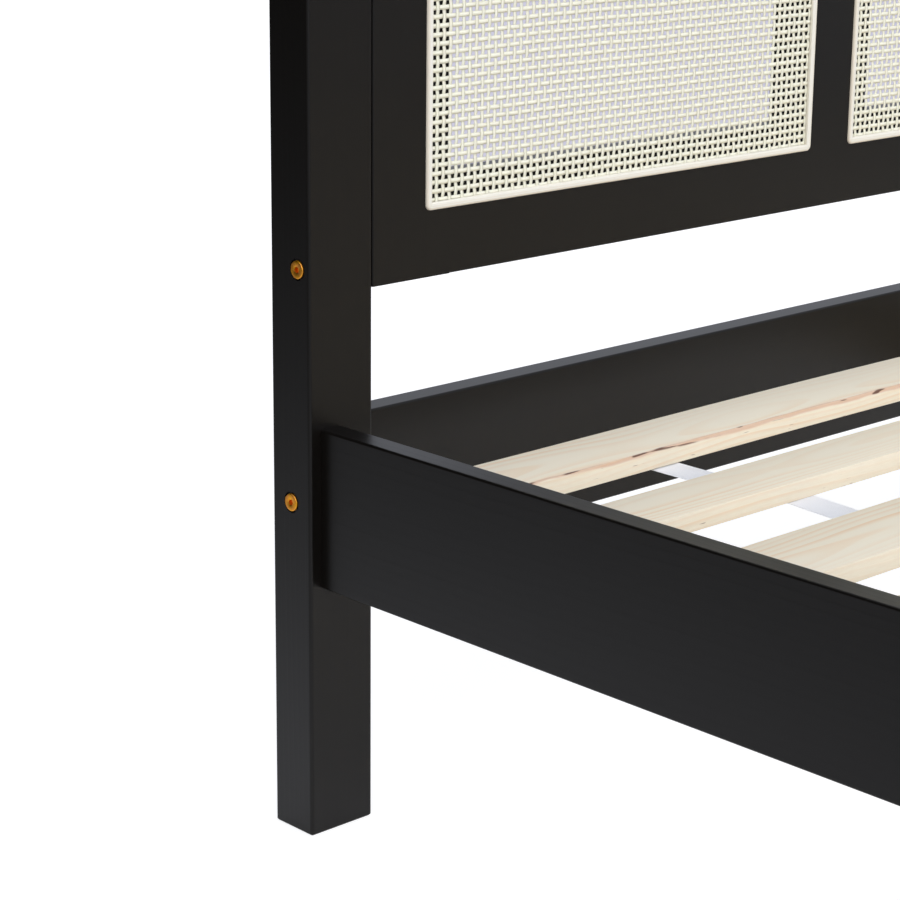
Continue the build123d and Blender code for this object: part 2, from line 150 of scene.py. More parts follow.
def fastener_places(node, outward):
    """Each fastener's outer end and the way that end faces: away from the bed's middle, or towards it."""
    places = []
    for low, high in solid_boxes(node):
        size = high - low
        centre = (low + high) / 2
        axis = max(range(3), key=lambda i: size[i])
        facing = Vector((0.0, 0.0, 0.0))
        facing[axis] = math.copysign(1.0, centre[axis]) * (1.0 if outward else -1.0)
        point = centre.copy()
        point[axis] = high[axis] if facing[axis] > 0 else low[axis]
        places.append((point, facing))
    return places


# Sizes that the node trees use, in metres

RIPPLE = 0.0008
SHEET_PULL = 0.003
FOOT_COLLAR_TOP = 0.0122
RIB_PITCH = 0.0014
PICK_PITCH = 0.0018
TWILL_PITCH = 0.0028
SAW_FACE = (0.0004, 0.0009)
BARK_SWAY = 0.008
BARK_LINE = (0.0006, 0.0030)
BARK_REACH = 0.006
# The band in from a bead's outer edge over which the bead's painted shade fades out.
BEAD_SHADE_BAND = (0.0010, 0.0022)

# Shares of a strand's pitch, of its width and of its radius

LOOSE_END = 0.25
SECTION_RADIUS = 0.53
STRAND_SPREAD = (0.90, 1.10)

# Colours that the finishes mix in

HONEY = (0.91, 0.74, 0.50)
STRAW = (0.93, 0.87, 0.72)
WARM_STRAW = (0.93, 0.87, 0.70)
SAWN_FIBRE = (0.80, 0.66, 0.46)
INNER_BARK = (0.66, 0.36, 0.22)
OUTER_BARK = (0.10, 0.035, 0.02)
DARK_BEECH = (0.62, 0.44, 0.27)
LIGHT_BEECH = (0.72, 0.55, 0.37)
AGED_CANE = (0.92, 0.83, 0.64)
PALE_CANE = (0.98, 0.95, 0.78)
CANE_FIBRE = (0.80, 0.66, 0.44)
BEAD_LATE_WOOD = (0.78, 0.60, 0.38)
BEAD_PATCH = (0.90, 0.82, 0.66)
# The next colour is painted shade, laid along the beads' outer edges.
BEAD_SHADE_COLOUR = (0.78, 0.65, 0.46)
COOL_YARN = (0.92, 0.92, 0.95)
DARK_COAT = (0.012, 0.012, 0.013)
LIGHT_COAT = (0.022, 0.022, 0.023)
DARK_NYLON = (0.016, 0.016, 0.017)
LIGHT_NYLON = (0.032, 0.032, 0.034)
BRIGHT_STUD = (0.60, 0.61, 0.63)
COPPERY_ZINC = (0.90, 0.36, 0.06)
INSERT_PLATE = (0.72, 0.72, 0.72)
WIRE_PLATE = (0.74, 0.74, 0.75)
SCREW_PLATE = (0.70, 0.66, 0.58)
NUT_PLATE = (0.74, 0.70, 0.60)


# Settings that a user can change

def colour_setting(name, description, default):
    """A setting that holds a colour."""
    return FloatVectorProperty(name=name, description=description, default=default, size=3, min=0.0, max=1.0,
                               subtype="COLOR")


def length_setting(name, description, default, least=0.0, most=1.0):
    """A setting that holds a small length, in metres."""
    return FloatProperty(name=name, description=description, default=default, min=least,
                         max=most, precision=6, subtype="DISTANCE", unit="LENGTH")


class LacquerSettings(bpy.types.PropertyGroup):
    """The black satin lacquer."""
    colour: colour_setting("Colour", "Colour of the lacquer under its gloss", (0.0038, 0.0029, 0.0020))
    roughness: FloatProperty(name="Roughness", description="How far the satin surface blurs what it reflects",
                             default=0.33, min=0.0, max=1.0, subtype="FACTOR")
    grain_height: length_setting("Grain height", "How far the wood grain shows through the lacquer",
                                 0.00004, most=0.001)


class PineSettings(bpy.types.PropertyGroup):
    """The pine of the slats, the beam and the centre legs."""
    light: colour_setting("Early wood", "Colour of the pale early wood", (0.89, 0.79, 0.60))
    dark: colour_setting("Late wood", "Colour of the orange late wood lines", (0.84, 0.54, 0.28))
    knot: colour_setting("Knots", "Colour of the knots", (0.22, 0.085, 0.03))
    ring_gap: length_setting("Ring gap", "Distance from one growth ring to the next", 0.0042, least=0.0005)
    bow: length_setting("Bow", "Greatest rise of a slat between its supports", 0.0016, most=0.01)
    arris: length_setting("Arris", "Radius of a slat's long edges", 0.0006, least=0.0001)
    seed: IntProperty(name="Seed", description="Seed that sets each slat's grain", default=11, min=0)


class CaneSettings(bpy.types.PropertyGroup):
    """The woven cane of the headboard panels and the beads round them."""
    colour: colour_setting("Cane", "Colour of the cane strands", (0.99, 0.96, 0.76))
    bead_colour: colour_setting("Beads", "Colour of the wooden beads", (0.92, 0.88, 0.76))
    pitch_across: length_setting("Pitch across", "Distance between upright strands", 0.0076, least=0.002)
    pitch_up: length_setting("Pitch up", "Distance between level strands", 0.00745, least=0.002)
    strand_width: length_setting("Strand width", "Width of one strand of cane", 0.0040, least=0.001)
    strand_thickness: length_setting("Strand thickness", "Thickness of one strand of cane", 0.0009,
                                     least=0.0002)
    wander: length_setting("Wander", "How far a strand strays sideways", 0.0005)
    seed: IntProperty(name="Seed", description="Seed for the strands' wander and shade", default=4, min=0)


class StrapSettings(bpy.types.PropertyGroup):
    """The webbing that spaces the slats."""
    colour: colour_setting("Colour", "Colour of the webbing yarn", (0.97, 0.97, 0.97))
    thickness: length_setting("Thickness", "Thickness of the webbing", 0.0013, least=0.0005)
    sag: length_setting("Sag", "Greatest sag of the webbing between two slats", 0.0008)
    stray: length_setting("Stray", "How far the webbing strays sideways", 0.005)
    seed: IntProperty(name="Seed", description="Seed for the webbing's sag and stray", default=7, min=0)


class HardwareSettings(bpy.types.PropertyGroup):
    """The bolts, screws, nuts, staples and feet."""
    yellow: colour_setting("Yellow zinc", "Colour of the yellow zinc plating", (0.92, 0.42, 0.015))
    bright: colour_setting("Bright zinc", "Colour of the bright zinc plating", (0.62, 0.63, 0.65))
    seed: IntProperty(name="Seed", description="Seed for how far each fastener is turned", default=3, min=0)


class StudioSettings(bpy.types.PropertyGroup):
    """The camera and the light."""
    camera_place: FloatVectorProperty(name="Camera place", description="Where the camera stands",
                                      default=(-2.2585, -0.5310, 0.92725), size=3, subtype="TRANSLATION",
                                      unit="LENGTH")
    heading: FloatProperty(name="Heading", description="Camera's heading, from +Y towards +X",
                           default=math.radians(43.22), subtype="ANGLE", unit="ROTATION")
    pitch: FloatProperty(name="Pitch", description="How far the camera looks down",
                         default=math.radians(15.85), subtype="ANGLE", unit="ROTATION")
    roll: FloatProperty(name="Roll", description="How far the camera is turned about its own line of sight",
                        default=math.radians(-0.57), subtype="ANGLE", unit="ROTATION")
    lens: FloatProperty(name="Lens", description="Focal length on a 36 mm sensor, in millimetres",
                        default=99.909, min=10.0)
    sky: FloatProperty(name="Sky", description="Strength of the light from overhead", default=0.80, min=0.0)
    horizon: FloatProperty(name="Horizon", description="Strength of the light from the sides", default=0.68,
                           min=0.0)


SETTINGS = {
    "bed_lacquer": LacquerSettings,
    "bed_pine": PineSettings,
    "bed_cane": CaneSettings,
    "bed_strap": StrapSettings,
    "bed_hardware": HardwareSettings,
    "bed_studio": StudioSettings,
}


# Short ways to build node trees

def add(tree, kind, inputs=None, **settings):
    """Adds a node, sets its settings, then wires or sets its inputs, and returns it."""
    node = tree.nodes.new(kind)
    for key, value in settings.items():
        setattr(node, key, value)
    for key, value in (inputs or {}).items():
        if isinstance(value, bpy.types.NodeSocket):
            tree.links.new(value, node.inputs[key])
        else:
            node.inputs[key].default_value = value
    return node


def tree_of(*values):
    """The node tree of the first socket among some values."""
    return next(value.id_data for value in values if isinstance(value, bpy.types.NodeSocket))


def calc(operation, *values, clamp=False):
    """One step of arithmetic on numbers, at least one of them a socket."""
    settings = {"operation": operation, "use_clamp": clamp}
    return add(tree_of(*values), "ShaderNodeMath", dict(enumerate(values)), **settings).outputs[0]


def plus(first, second):
    """The sum of two numbers."""
    return calc("ADD", first, second)


def minus(first, second):
    """What is left of one number when another is taken away."""
    return calc("SUBTRACT", first, second)


def times(first, second):
    """The product of two numbers."""
    return calc("MULTIPLY", first, second)


def ratio(first, second):
    """One number divided by another."""
    return calc("DIVIDE", first, second)


def vector_calc(operation, *values):
    """One step of arithmetic on vectors, at least one of them a socket."""
    return add(tree_of(*values), "ShaderNodeVectorMath", dict(enumerate(values)),
               operation=operation).outputs[0]


def length_of(vector):
    """The length of a vector."""
    return add(vector.id_data, "ShaderNodeVectorMath", {0: vector}, operation="LENGTH").outputs["Value"]


def split(vector):
    """The three parts of a vector."""
    return add(vector.id_data, "ShaderNodeSeparateXYZ", {0: vector}).outputs[:]


def join(x, y, z):
    """A vector from its three parts."""
    return add(tree_of(x, y, z), "ShaderNodeCombineXYZ", {0: x, 1: y, 2: z}).outputs[0]


def ranged(value, low, high, to_low=0.0, to_high=1.0):
    """A value carried from one range to another, with a soft start and end."""
    inputs = {0: value, 1: low, 2: high, 3: to_low, 4: to_high}
    return add(value.id_data, "ShaderNodeMapRange", inputs, interpolation_type="SMOOTHSTEP").outputs[0]


def tint(factor, first, second, amount=None):
    """A colour between two others; amount is how far the factor may carry it."""
    if amount is not None:
        factor = times(factor, amount)
    inputs = {0: factor, 6: first, 7: second}
    return add(tree_of(factor, first, second), "ShaderNodeMix", inputs, data_type="RGBA").outputs[2]


def noise(vector, scale=1.0, detail=2.0, rough=0.5):
    """A noise texture's factor and colour."""
    inputs = {"Vector": vector, "Scale": scale, "Detail": detail, "Roughness": rough}
    node = add(vector.id_data, "ShaderNodeTexNoise", inputs)
    return node.outputs[0], node.outputs[1]


def stretched(vector, x, y, z):
    """A vector with each part multiplied."""
    return vector_calc("MULTIPLY", vector, (x, y, z))


def centred(colour):
    """A noise texture's colour as a vector about a middle of nought."""
    return vector_calc("SUBTRACT", colour, (0.5, 0.5, 0.5))


def on_object(tree):
    """Object coordinates."""
    return add(tree, "ShaderNodeTexCoord").outputs["Object"]


def attribute(tree, name, output="Fac"):
    """A named attribute of the mesh."""
    return add(tree, "ShaderNodeAttribute", attribute_name=name).outputs[output]


def opaque(colour, strength=1.0):
    """A colour of three parts as one of four, made brighter or darker."""
    return tuple(part * strength for part in colour) + (1.0,)


SOCKETS = {float: "NodeSocketFloat", int: "NodeSocketInt"}


def group(name, kind, inputs, outputs):
    """A node group: its tree, what comes in and what goes out. An input is named with its default, which is a
    float or a whole number, or with its socket's type where it has none."""
    tree = bpy.data.node_groups.new(name, kind)
    for label, default in inputs.items():
        socket = default if isinstance(default, str) else SOCKETS[type(default)]
        item = tree.interface.new_socket(name=label, in_out="INPUT", socket_type=socket)
        if socket != default:
            item.default_value = default
    for label in outputs:
        socket = "NodeSocketGeometry" if label == "Geometry" else "NodeSocketFloat"
        tree.interface.new_socket(name=label, in_out="OUTPUT", socket_type=socket)
    return tree, tree.nodes.new("NodeGroupInput").outputs, tree.nodes.new("NodeGroupOutput").inputs


def once(name, build):
    """A node group by its name, built the first time that it is asked for."""
    return bpy.data.node_groups.get(name) or build(name)


# Shader groups that several finishes share

def build_timber_grain(name):
    """Growth rings about a pith that wanders along X, with knots that push the rings aside."""
    inputs = {"Vector": "NodeSocketVector", "Ring Gap": 0.004, "Pith": "NodeSocketVector",
              "Wander": 0.012, "Knot Spacing": 0.2, "Knot Radius": 0.006}
    outputs = ["Late Wood", "Knot", "Knot Halo", "Fibre", "Height"]
    tree, source, sink = group(name, "ShaderNodeTree", inputs, outputs)
    place = source["Vector"]

    knots = add(tree, "ShaderNodeTexVoronoi", {
        "Vector": vector_calc("DIVIDE", place, join(*[source["Knot Spacing"]] * 3)),
        "Scale": 1.0, "Randomness": 1.0})
    reach = times(knots.outputs["Distance"], source["Knot Spacing"])
    size = ratio(reach, source["Knot Radius"])
    ragged = noise(place, scale=260.0, detail=2.0)[0]
    rough_size = plus(size, calc("MULTIPLY_ADD", ragged, 0.7, -0.35))
    knot = ranged(rough_size, 0.75, 1.05, to_low=1.0, to_high=0.0)
    halo = ranged(size, 0.9, 3.2, to_low=1.0, to_high=0.0)

    drift = centred(noise(stretched(place, 1.6, 5.0, 5.0), detail=2.0)[1])
    drift = vector_calc("MULTIPLY", drift, join(*[source["Wander"]] * 3))
    ripple = centred(noise(stretched(place, 9.0, 60.0, 60.0), detail=1.0)[1])
    ripple = vector_calc("MULTIPLY", ripple, (RIPPLE,) * 3)
    shifted = vector_calc("ADD", vector_calc("ADD", place, source["Pith"]),
                          vector_calc("ADD", drift, ripple))
    across = stretched(shifted, 0.0, 1.0, 1.0)
    radius = ratio(length_of(across), source["Ring Gap"])
    pushed = plus(radius, times(halo, 1.6))
    ring = calc("FRACT", pushed)
    rise = ranged(ring, 0.30, 0.86)
    fall = ranged(ring, 0.88, 1.0, to_low=1.0, to_high=0.0)
    year = noise(join(calc("FLOOR", pushed), 0.3, 0.7), scale=3.7, detail=0.0)[0]
    strength = ranged(year, 0.3, 0.7, to_low=0.45, to_high=1.0)
    late = times(times(rise, fall), strength)

    fibre = noise(stretched(place, 6.0, 620.0, 620.0), detail=3.0, rough=0.6)[0]
    height = plus(times(late, 0.6), times(fibre, 0.4))
    for label, value in zip(outputs, (late, knot, halo, fibre, height)):
        tree.links.new(value, sink[label])
    return tree


def build_surface_haze(name):
    """Uneven sheen: broad patches and fine specks, about a middle of nought."""
    inputs = {"Vector": "NodeSocketVector", "Patch Scale": 6.0, "Speck Scale": 400.0, "Amount": 0.05}
    tree, source, sink = group(name, "ShaderNodeTree", inputs, ["Haze", "Specks"])
    patches = noise(source["Vector"], scale=source["Patch Scale"], detail=3.0)[0]
    specks = noise(source["Vector"], scale=source["Speck Scale"], detail=2.0)[0]
    mixed = plus(calc("MULTIPLY_ADD", patches, 1.4, -0.7), calc("MULTIPLY_ADD", specks, 0.6, -0.3))
    tree.links.new(times(mixed, source["Amount"]), sink["Haze"])
    tree.links.new(specks, sink["Specks"])
    return tree


def surface_haze(vector, patch, speck, amount):
    """Places the shared haze in a material: its haze and its specks."""
    inputs = {"Vector": vector, "Patch Scale": patch, "Speck Scale": speck, "Amount": amount}
    node = add(vector.id_data, "ShaderNodeGroup", inputs, node_tree=once("Surface haze", build_surface_haze))
    return node.outputs["Haze"], node.outputs["Specks"]


def timber_grain(vector, ring_gap, pith, wander, knot_spacing, knot_radius):
    """Places the shared timber grain in a material and returns its outputs."""
    inputs = {"Vector": vector, "Ring Gap": ring_gap, "Pith": pith, "Wander": wander,
              "Knot Spacing": knot_spacing, "Knot Radius": knot_radius}
    node = add(vector.id_data, "ShaderNodeGroup", inputs, node_tree=once("Timber grain", build_timber_grain))
    return node.outputs


# Materials

def new_material(name):
    """An empty node material and its tree."""
    material = bpy.data.materials.new(name)
    material.use_nodes = True
    material.node_tree.nodes.clear()
    return material, material.node_tree


def finish_with(tree, **sockets):
    """Ends a material in a Principled shader, whose inputs are named with underscores for spaces."""
    inputs = {key.replace("_", " "): value for key, value in sockets.items()}
    shader = add(tree, "ShaderNodeBsdfPrincipled", inputs)
    add(tree, "ShaderNodeOutputMaterial", {"Surface": shader.outputs[0]})


def bumped(height, distance):
    """A normal from a height, where the height's range of one stands a distance high."""
    inputs = {"Height": height, "Distance": distance, "Strength": 1.0}
    return add(height.id_data, "ShaderNodeBump", inputs).outputs[0]


def along_grain(tree, axis):
    """Object coordinates turned so that X runs along the piece's grain."""
    x, y, z = split(on_object(tree))
    return join(*{"X": (x, y, z), "Y": (y, z, x), "Z": (z, x, y)}[axis])


def lacquer(axis):
    """Black satin lacquer over wood whose grain runs along one axis."""
    name = "Black satin lacquer " + axis
    if name in bpy.data.materials:
        return bpy.data.materials[name]
    setting = bpy.context.scene.bed_lacquer
    material, tree = new_material(name)
    place = along_grain(tree, axis)
    haze, specks = surface_haze(place, patch=5.0, speck=900.0, amount=0.035)
    grain = timber_grain(place, ring_gap=0.006, pith=(0.0, 0.31, 0.17), wander=0.02, knot_spacing=3.0,
                         knot_radius=0.004)
    roughness = plus(haze, setting.roughness)
    colour = tint(grain["Fibre"], opaque(setting.colour), opaque(setting.colour, 1.9), amount=0.35)
    height = plus(times(grain["Height"], 0.8), times(specks, 0.35))
    finish_with(tree, Base_Color=colour, Roughness=roughness, IOR=1.34,
                Normal=bumped(height, distance=setting.grain_height))
    return material


def pine(name, axis, pith, ring_gap=None, boards=False):
    """Planed pine whose grain runs along one axis; with boards, each board has its own place in the tree."""
    setting = bpy.context.scene.bed_pine
    material, tree = new_material(name)
    place = along_grain(tree, axis)
    shade = 0.5
    if boards:
        board = attribute(tree, "board", "Vector")
        lane = attribute(tree, "lane")
        along, _, up = split(place)
        place = join(along, lane, minus(up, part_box(SLATS[0])[1].z))
        place = vector_calc("ADD", place, stretched(board, 3.0, 0.05, 0.03))
        shade = split(board)[0]
    grain = timber_grain(place, ring_gap=ring_gap or setting.ring_gap, pith=pith, wander=0.055,
                         knot_spacing=0.24, knot_radius=0.0055)
    broad = noise(stretched(place, 2.2, 26.0, 26.0), detail=2.0)[0]
    streak = noise(stretched(place, 3.0, 240.0, 240.0), detail=3.0, rough=0.6)[0]
    figure = noise(stretched(place, 1.1, 9.0, 9.0), detail=1.0)[0]
    figure = ranged(figure, 0.42, 0.62, to_low=0.22, to_high=0.85)
    colour = tint(times(grain["Late Wood"], figure), opaque(setting.light), opaque(setting.dark))
    colour = tint(calc("MULTIPLY_ADD", broad, 1.3, -0.56, clamp=True), colour, opaque(HONEY))
    colour = tint(streak, colour, opaque(STRAW), amount=0.25)
    colour = tint(grain["Knot Halo"], colour, opaque(setting.dark, 0.9), amount=0.45)
    colour = tint(grain["Knot"], colour, opaque(setting.knot), amount=0.85)
    if boards:
        colour = tint(shade, colour, opaque(WARM_STRAW), amount=0.15)
        colour = sawn_edges(tree, colour, board)
    haze, specks = surface_haze(place, patch=9.0, speck=700.0, amount=0.08)
    height = plus(grain["Height"], times(specks, 0.3))
    finish_with(tree, Base_Color=colour, Roughness=plus(haze, 0.58), Specular_IOR_Level=0.35,
                Normal=bumped(height, distance=0.00012))
    return material


def sawn_edges(tree, colour, board):
    """The boards' rough foot-side faces: saw marks, splinters and, on some, a brown line of bark."""
    setting = bpy.context.scene.bed_pine
    place = on_object(tree)
    x, y, z = split(place)
    lane = attribute(tree, "lane")
    below = minus(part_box(SLATS[0])[1].z, z)
    face = ranged(lane, *SAW_FACE, to_low=1.0, to_high=0.0)
    fuzz = noise(stretched(place, 90.0, 900.0, 900.0), detail=3.0, rough=0.65)[0]
    marks = noise(stretched(place, 30.0, 40.0, 420.0), detail=2.0, rough=0.6)[0]
    rough = times(face, calc("MULTIPLY_ADD", fuzz, 1.2, -0.35, clamp=True))
    colour = tint(rough, colour, opaque(SAWN_FIBRE), amount=0.75)
    specks = ranged(marks, 0.70, 0.76, to_low=0.0, to_high=0.8)
    colour = tint(times(specks, face), colour, opaque(setting.knot))
    sway = noise(join(times(x, 14.0), y, 0.0), detail=2.0)[0]
    sway = calc("MULTIPLY_ADD", sway, BARK_SWAY, -BARK_SWAY / 2)
    reach = calc("ABSOLUTE", plus(minus(lane, calc("MAXIMUM", below, 0.0)), sway))
    line = ranged(reach, *BARK_LINE, to_low=1.0, to_high=0.0)
    near = times(calc("LESS_THAN", lane, BARK_REACH), calc("LESS_THAN", below, BARK_REACH))
    line = times(line, near)
    headmost = calc("GREATER_THAN", y, (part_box(SLATS[0])[0].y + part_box(SLATS[1])[1].y) / 2)
    barked = calc("MAXIMUM", headmost, calc("GREATER_THAN", split(board)[2], 0.75))
    line = times(line, barked)
    colour = tint(line, colour, opaque(INNER_BARK), amount=0.62)
    bark = noise(stretched(place, 24.0, 30.0, 300.0), detail=1.0)[0]
    dark = times(line, ranged(bark, 0.60, 0.66, to_low=0.0, to_high=0.9))
    return tint(dark, colour, opaque(OUTER_BARK))


def beech():
    """Turned beech, fine and even, with short flecks."""
    material, tree = new_material("Turned beech")
    place = along_grain(tree, "X")
    flecks = noise(stretched(place, 60.0, 500.0, 500.0), detail=2.0)[0]
    colour = tint(flecks, opaque(DARK_BEECH), opaque(LIGHT_BEECH))
    finish_with(tree, Base_Color=colour, Roughness=0.6, Normal=bumped(flecks, distance=0.0001))
    return material


def cane_skin():
    """Natural cane: glossy cream skin with faint long fibres, each strand a shade of its own."""
    setting = bpy.context.scene.bed_cane
    material, tree = new_material("Natural cane")
    x, y, z = split(on_object(tree))
    level = attribute(tree, "level")
    shade = attribute(tree, "shade")
    along = plus(times(x, level), times(z, minus(1.0, level)))
    across = plus(times(z, level), times(x, minus(1.0, level)))
    place = join(along, across, y)
    fibres = noise(stretched(place, 14.0, 2600.0, 900.0), detail=2.0)[0]
    patches = noise(stretched(place, 22.0, 130.0, 1.0), detail=2.0)[0]
    colour = tint(shade, opaque(setting.colour), opaque(AGED_CANE), amount=0.30)
    colour = tint(calc("MULTIPLY_ADD", patches, 1.1, -0.42, clamp=True), colour, opaque(PALE_CANE))
    colour = tint(ranged(fibres, 0.58, 0.78, to_low=0.0, to_high=0.22), colour, opaque(CANE_FIBRE))
    haze, specks = surface_haze(place, patch=40.0, speck=1500.0, amount=0.1)
    height = plus(fibres, times(specks, 0.2))
    finish_with(tree, Base_Color=colour, Roughness=plus(haze, 0.42), Normal=bumped(height, distance=0.00006))
    return material


def bead_wood():
    """Pale planed wood for the beads, with its grain along each strip and painted shade along its outer edge.
    """
    setting = bpy.context.scene.bed_cane
    material, tree = new_material("Pale bead wood")
    place = attribute(tree, "strip", "Vector")
    grain = timber_grain(place, ring_gap=0.0016, pith=(0.0, 0.11, 0.05), wander=0.004, knot_spacing=6.0,
                         knot_radius=0.002)
    broad = noise(stretched(place, 5.0, 90.0, 90.0), detail=2.0)[0]
    colour = tint(grain["Late Wood"], opaque(setting.bead_colour), opaque(BEAD_LATE_WOOD), amount=0.28)
    colour = tint(broad, colour, opaque(BEAD_PATCH), amount=0.3)
    # Painted shade: every bead's outer edge is tinted beige, standing in for the shade on a bead's downward
    # side.
    outer = ranged(split(place)[1], *BEAD_SHADE_BAND, to_low=0.55, to_high=0.0)
    colour = tint(outer, colour, opaque(BEAD_SHADE_COLOUR))
    haze, specks = surface_haze(place, patch=30.0, speck=900.0, amount=0.06)
    height = plus(grain["Height"], times(specks, 0.2))
    finish_with(tree, Base_Color=colour, Roughness=plus(haze, 0.45), Normal=bumped(height, distance=0.00005))
    return material


def webbing():
    """White webbing: a twill of fine yarns that follows the strap."""
    setting = bpy.context.scene.bed_strap
    material, tree = new_material("White webbing")
    u, v, _ = split(add(tree, "ShaderNodeUVMap", uv_map="Webbing").outputs[0])
    ribs = calc("SINE", times(u, 2 * math.pi / RIB_PITCH))
    picks = calc("SINE",
                 calc("MULTIPLY_ADD", v, 2 * math.pi / PICK_PITCH, times(u, 2 * math.pi / TWILL_PITCH)))
    weave = calc("MULTIPLY_ADD", times(ribs, picks), 0.5, 0.5)
    yarn = noise(join(u, v, 0.0), scale=2600.0, detail=2.0)[0]
    # Painted shade: the yarn's colour is darkened where the twill's relief is low, standing in for shade in
    # the weave's hollows.
    colour = tint(weave, opaque(setting.colour, 0.86), opaque(setting.colour))
    colour = tint(yarn, colour, opaque(COOL_YARN), amount=0.25)
    height = plus(weave, times(yarn, 0.3))
    finish_with(tree, Base_Color=colour, Roughness=0.8, Sheen_Weight=0.25, Sheen_Roughness=0.5,
                Normal=bumped(height, distance=0.00025))
    return material


def plated_steel(name, colour, second, roughness):
    """Zinc-plated steel with cloudy tints and fine specks in its surface."""
    material, tree = new_material(name)
    place = on_object(tree)
    clouds = noise(place, scale=190.0, detail=3.0)[0]
    haze, specks = surface_haze(place, patch=120.0, speck=2400.0, amount=0.10)
    mixed = tint(ranged(clouds, 0.35, 0.65), opaque(colour), opaque(second))
    finish_with(tree, Base_Color=mixed, Metallic=1.0, Roughness=plus(haze, roughness),
                Normal=bumped(specks, distance=0.00003))
    return material


def powder_coat():
    """Black powder coat with its fine orange-peel texture."""
    material, tree = new_material("Black powder coat")
    place = on_object(tree)
    haze, specks = surface_haze(place, patch=30.0, speck=1100.0, amount=0.08)
    peel = noise(place, scale=700.0, detail=1.0)[0]
    colour = tint(specks, opaque(DARK_COAT), opaque(LIGHT_COAT))
    finish_with(tree, Base_Color=colour, Roughness=plus(haze, 0.5), Normal=bumped(peel, distance=0.0002))
    return material


def foot_material():
    """Moulded black nylon for the pad and collar, and bright steel above them for the stud."""
    material, tree = new_material("Nylon pad and steel stud")
    place = on_object(tree)
    stud_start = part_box(LEVELLING_FEET[0])[0].z + FOOT_COLLAR_TOP
    stud = calc("GREATER_THAN", split(place)[2], stud_start)
    haze, specks = surface_haze(place, patch=60.0, speck=1300.0, amount=0.08)
    colour = tint(stud, tint(specks, opaque(DARK_NYLON), opaque(LIGHT_NYLON)),
                  opaque(BRIGHT_STUD))
    finish_with(tree, Base_Color=colour, Metallic=stud, Roughness=plus(haze, 0.42),
                Normal=bumped(specks, distance=0.00008))
    return material


# Geometry trees

def tree_result(name, tree, inputs, start=None):
    """Runs a geometry tree on a new object and keeps what it makes as that object's plain mesh."""
    piece = bpy.data.objects.new(name, start or bpy.data.meshes.new(name))
    bpy.context.scene.collection.objects.link(piece)
    modifier = piece.modifiers.new("Build", "NODES")
    modifier.node_group = tree
    sockets = {item.name: item.identifier for item in tree.interface.items_tree if item.in_out == "INPUT"}
    for label, value in inputs.items():
        modifier[sockets[label]] = value
    graph = bpy.context.evaluated_depsgraph_get()
    made = bpy.data.meshes.new_from_object(piece.evaluated_get(graph), preserve_all_data_layers=True,
                                           depsgraph=graph)
    piece.modifiers.clear()
    piece.data = made
    made.name = name
    if not made.polygons:
        raise RuntimeError(f"{name}: the geometry tree made no faces")
    return piece


def close_tree(tree, geometry, material, sink):
    """Ends a geometry tree: instances made real, and the material set."""
    real = add(tree, "GeometryNodeRealizeInstances", {0: geometry}).outputs[0]
    painted = add(tree, "GeometryNodeSetMaterial", {0: real, "Material": material}).outputs[0]
    tree.links.new(painted, sink[0])


def stored(tree, geometry, name, value, kind, domain):
    """Geometry with a named attribute kept on it."""
    inputs = {0: geometry, "Name": name, "Value": value}
    return add(tree, "GeometryNodeStoreNamedAttribute", inputs, data_type=kind, domain=domain).outputs[0]


def random_value(tree, low, high, seed, place=None):
    """A random number for each element, from its index or another whole number."""
    inputs = {2: low, 3: high, 8: seed}
    if place is not None:
        inputs[7] = place
    return add(tree, "FunctionNodeRandomValue", inputs, data_type="FLOAT").outputs[1]


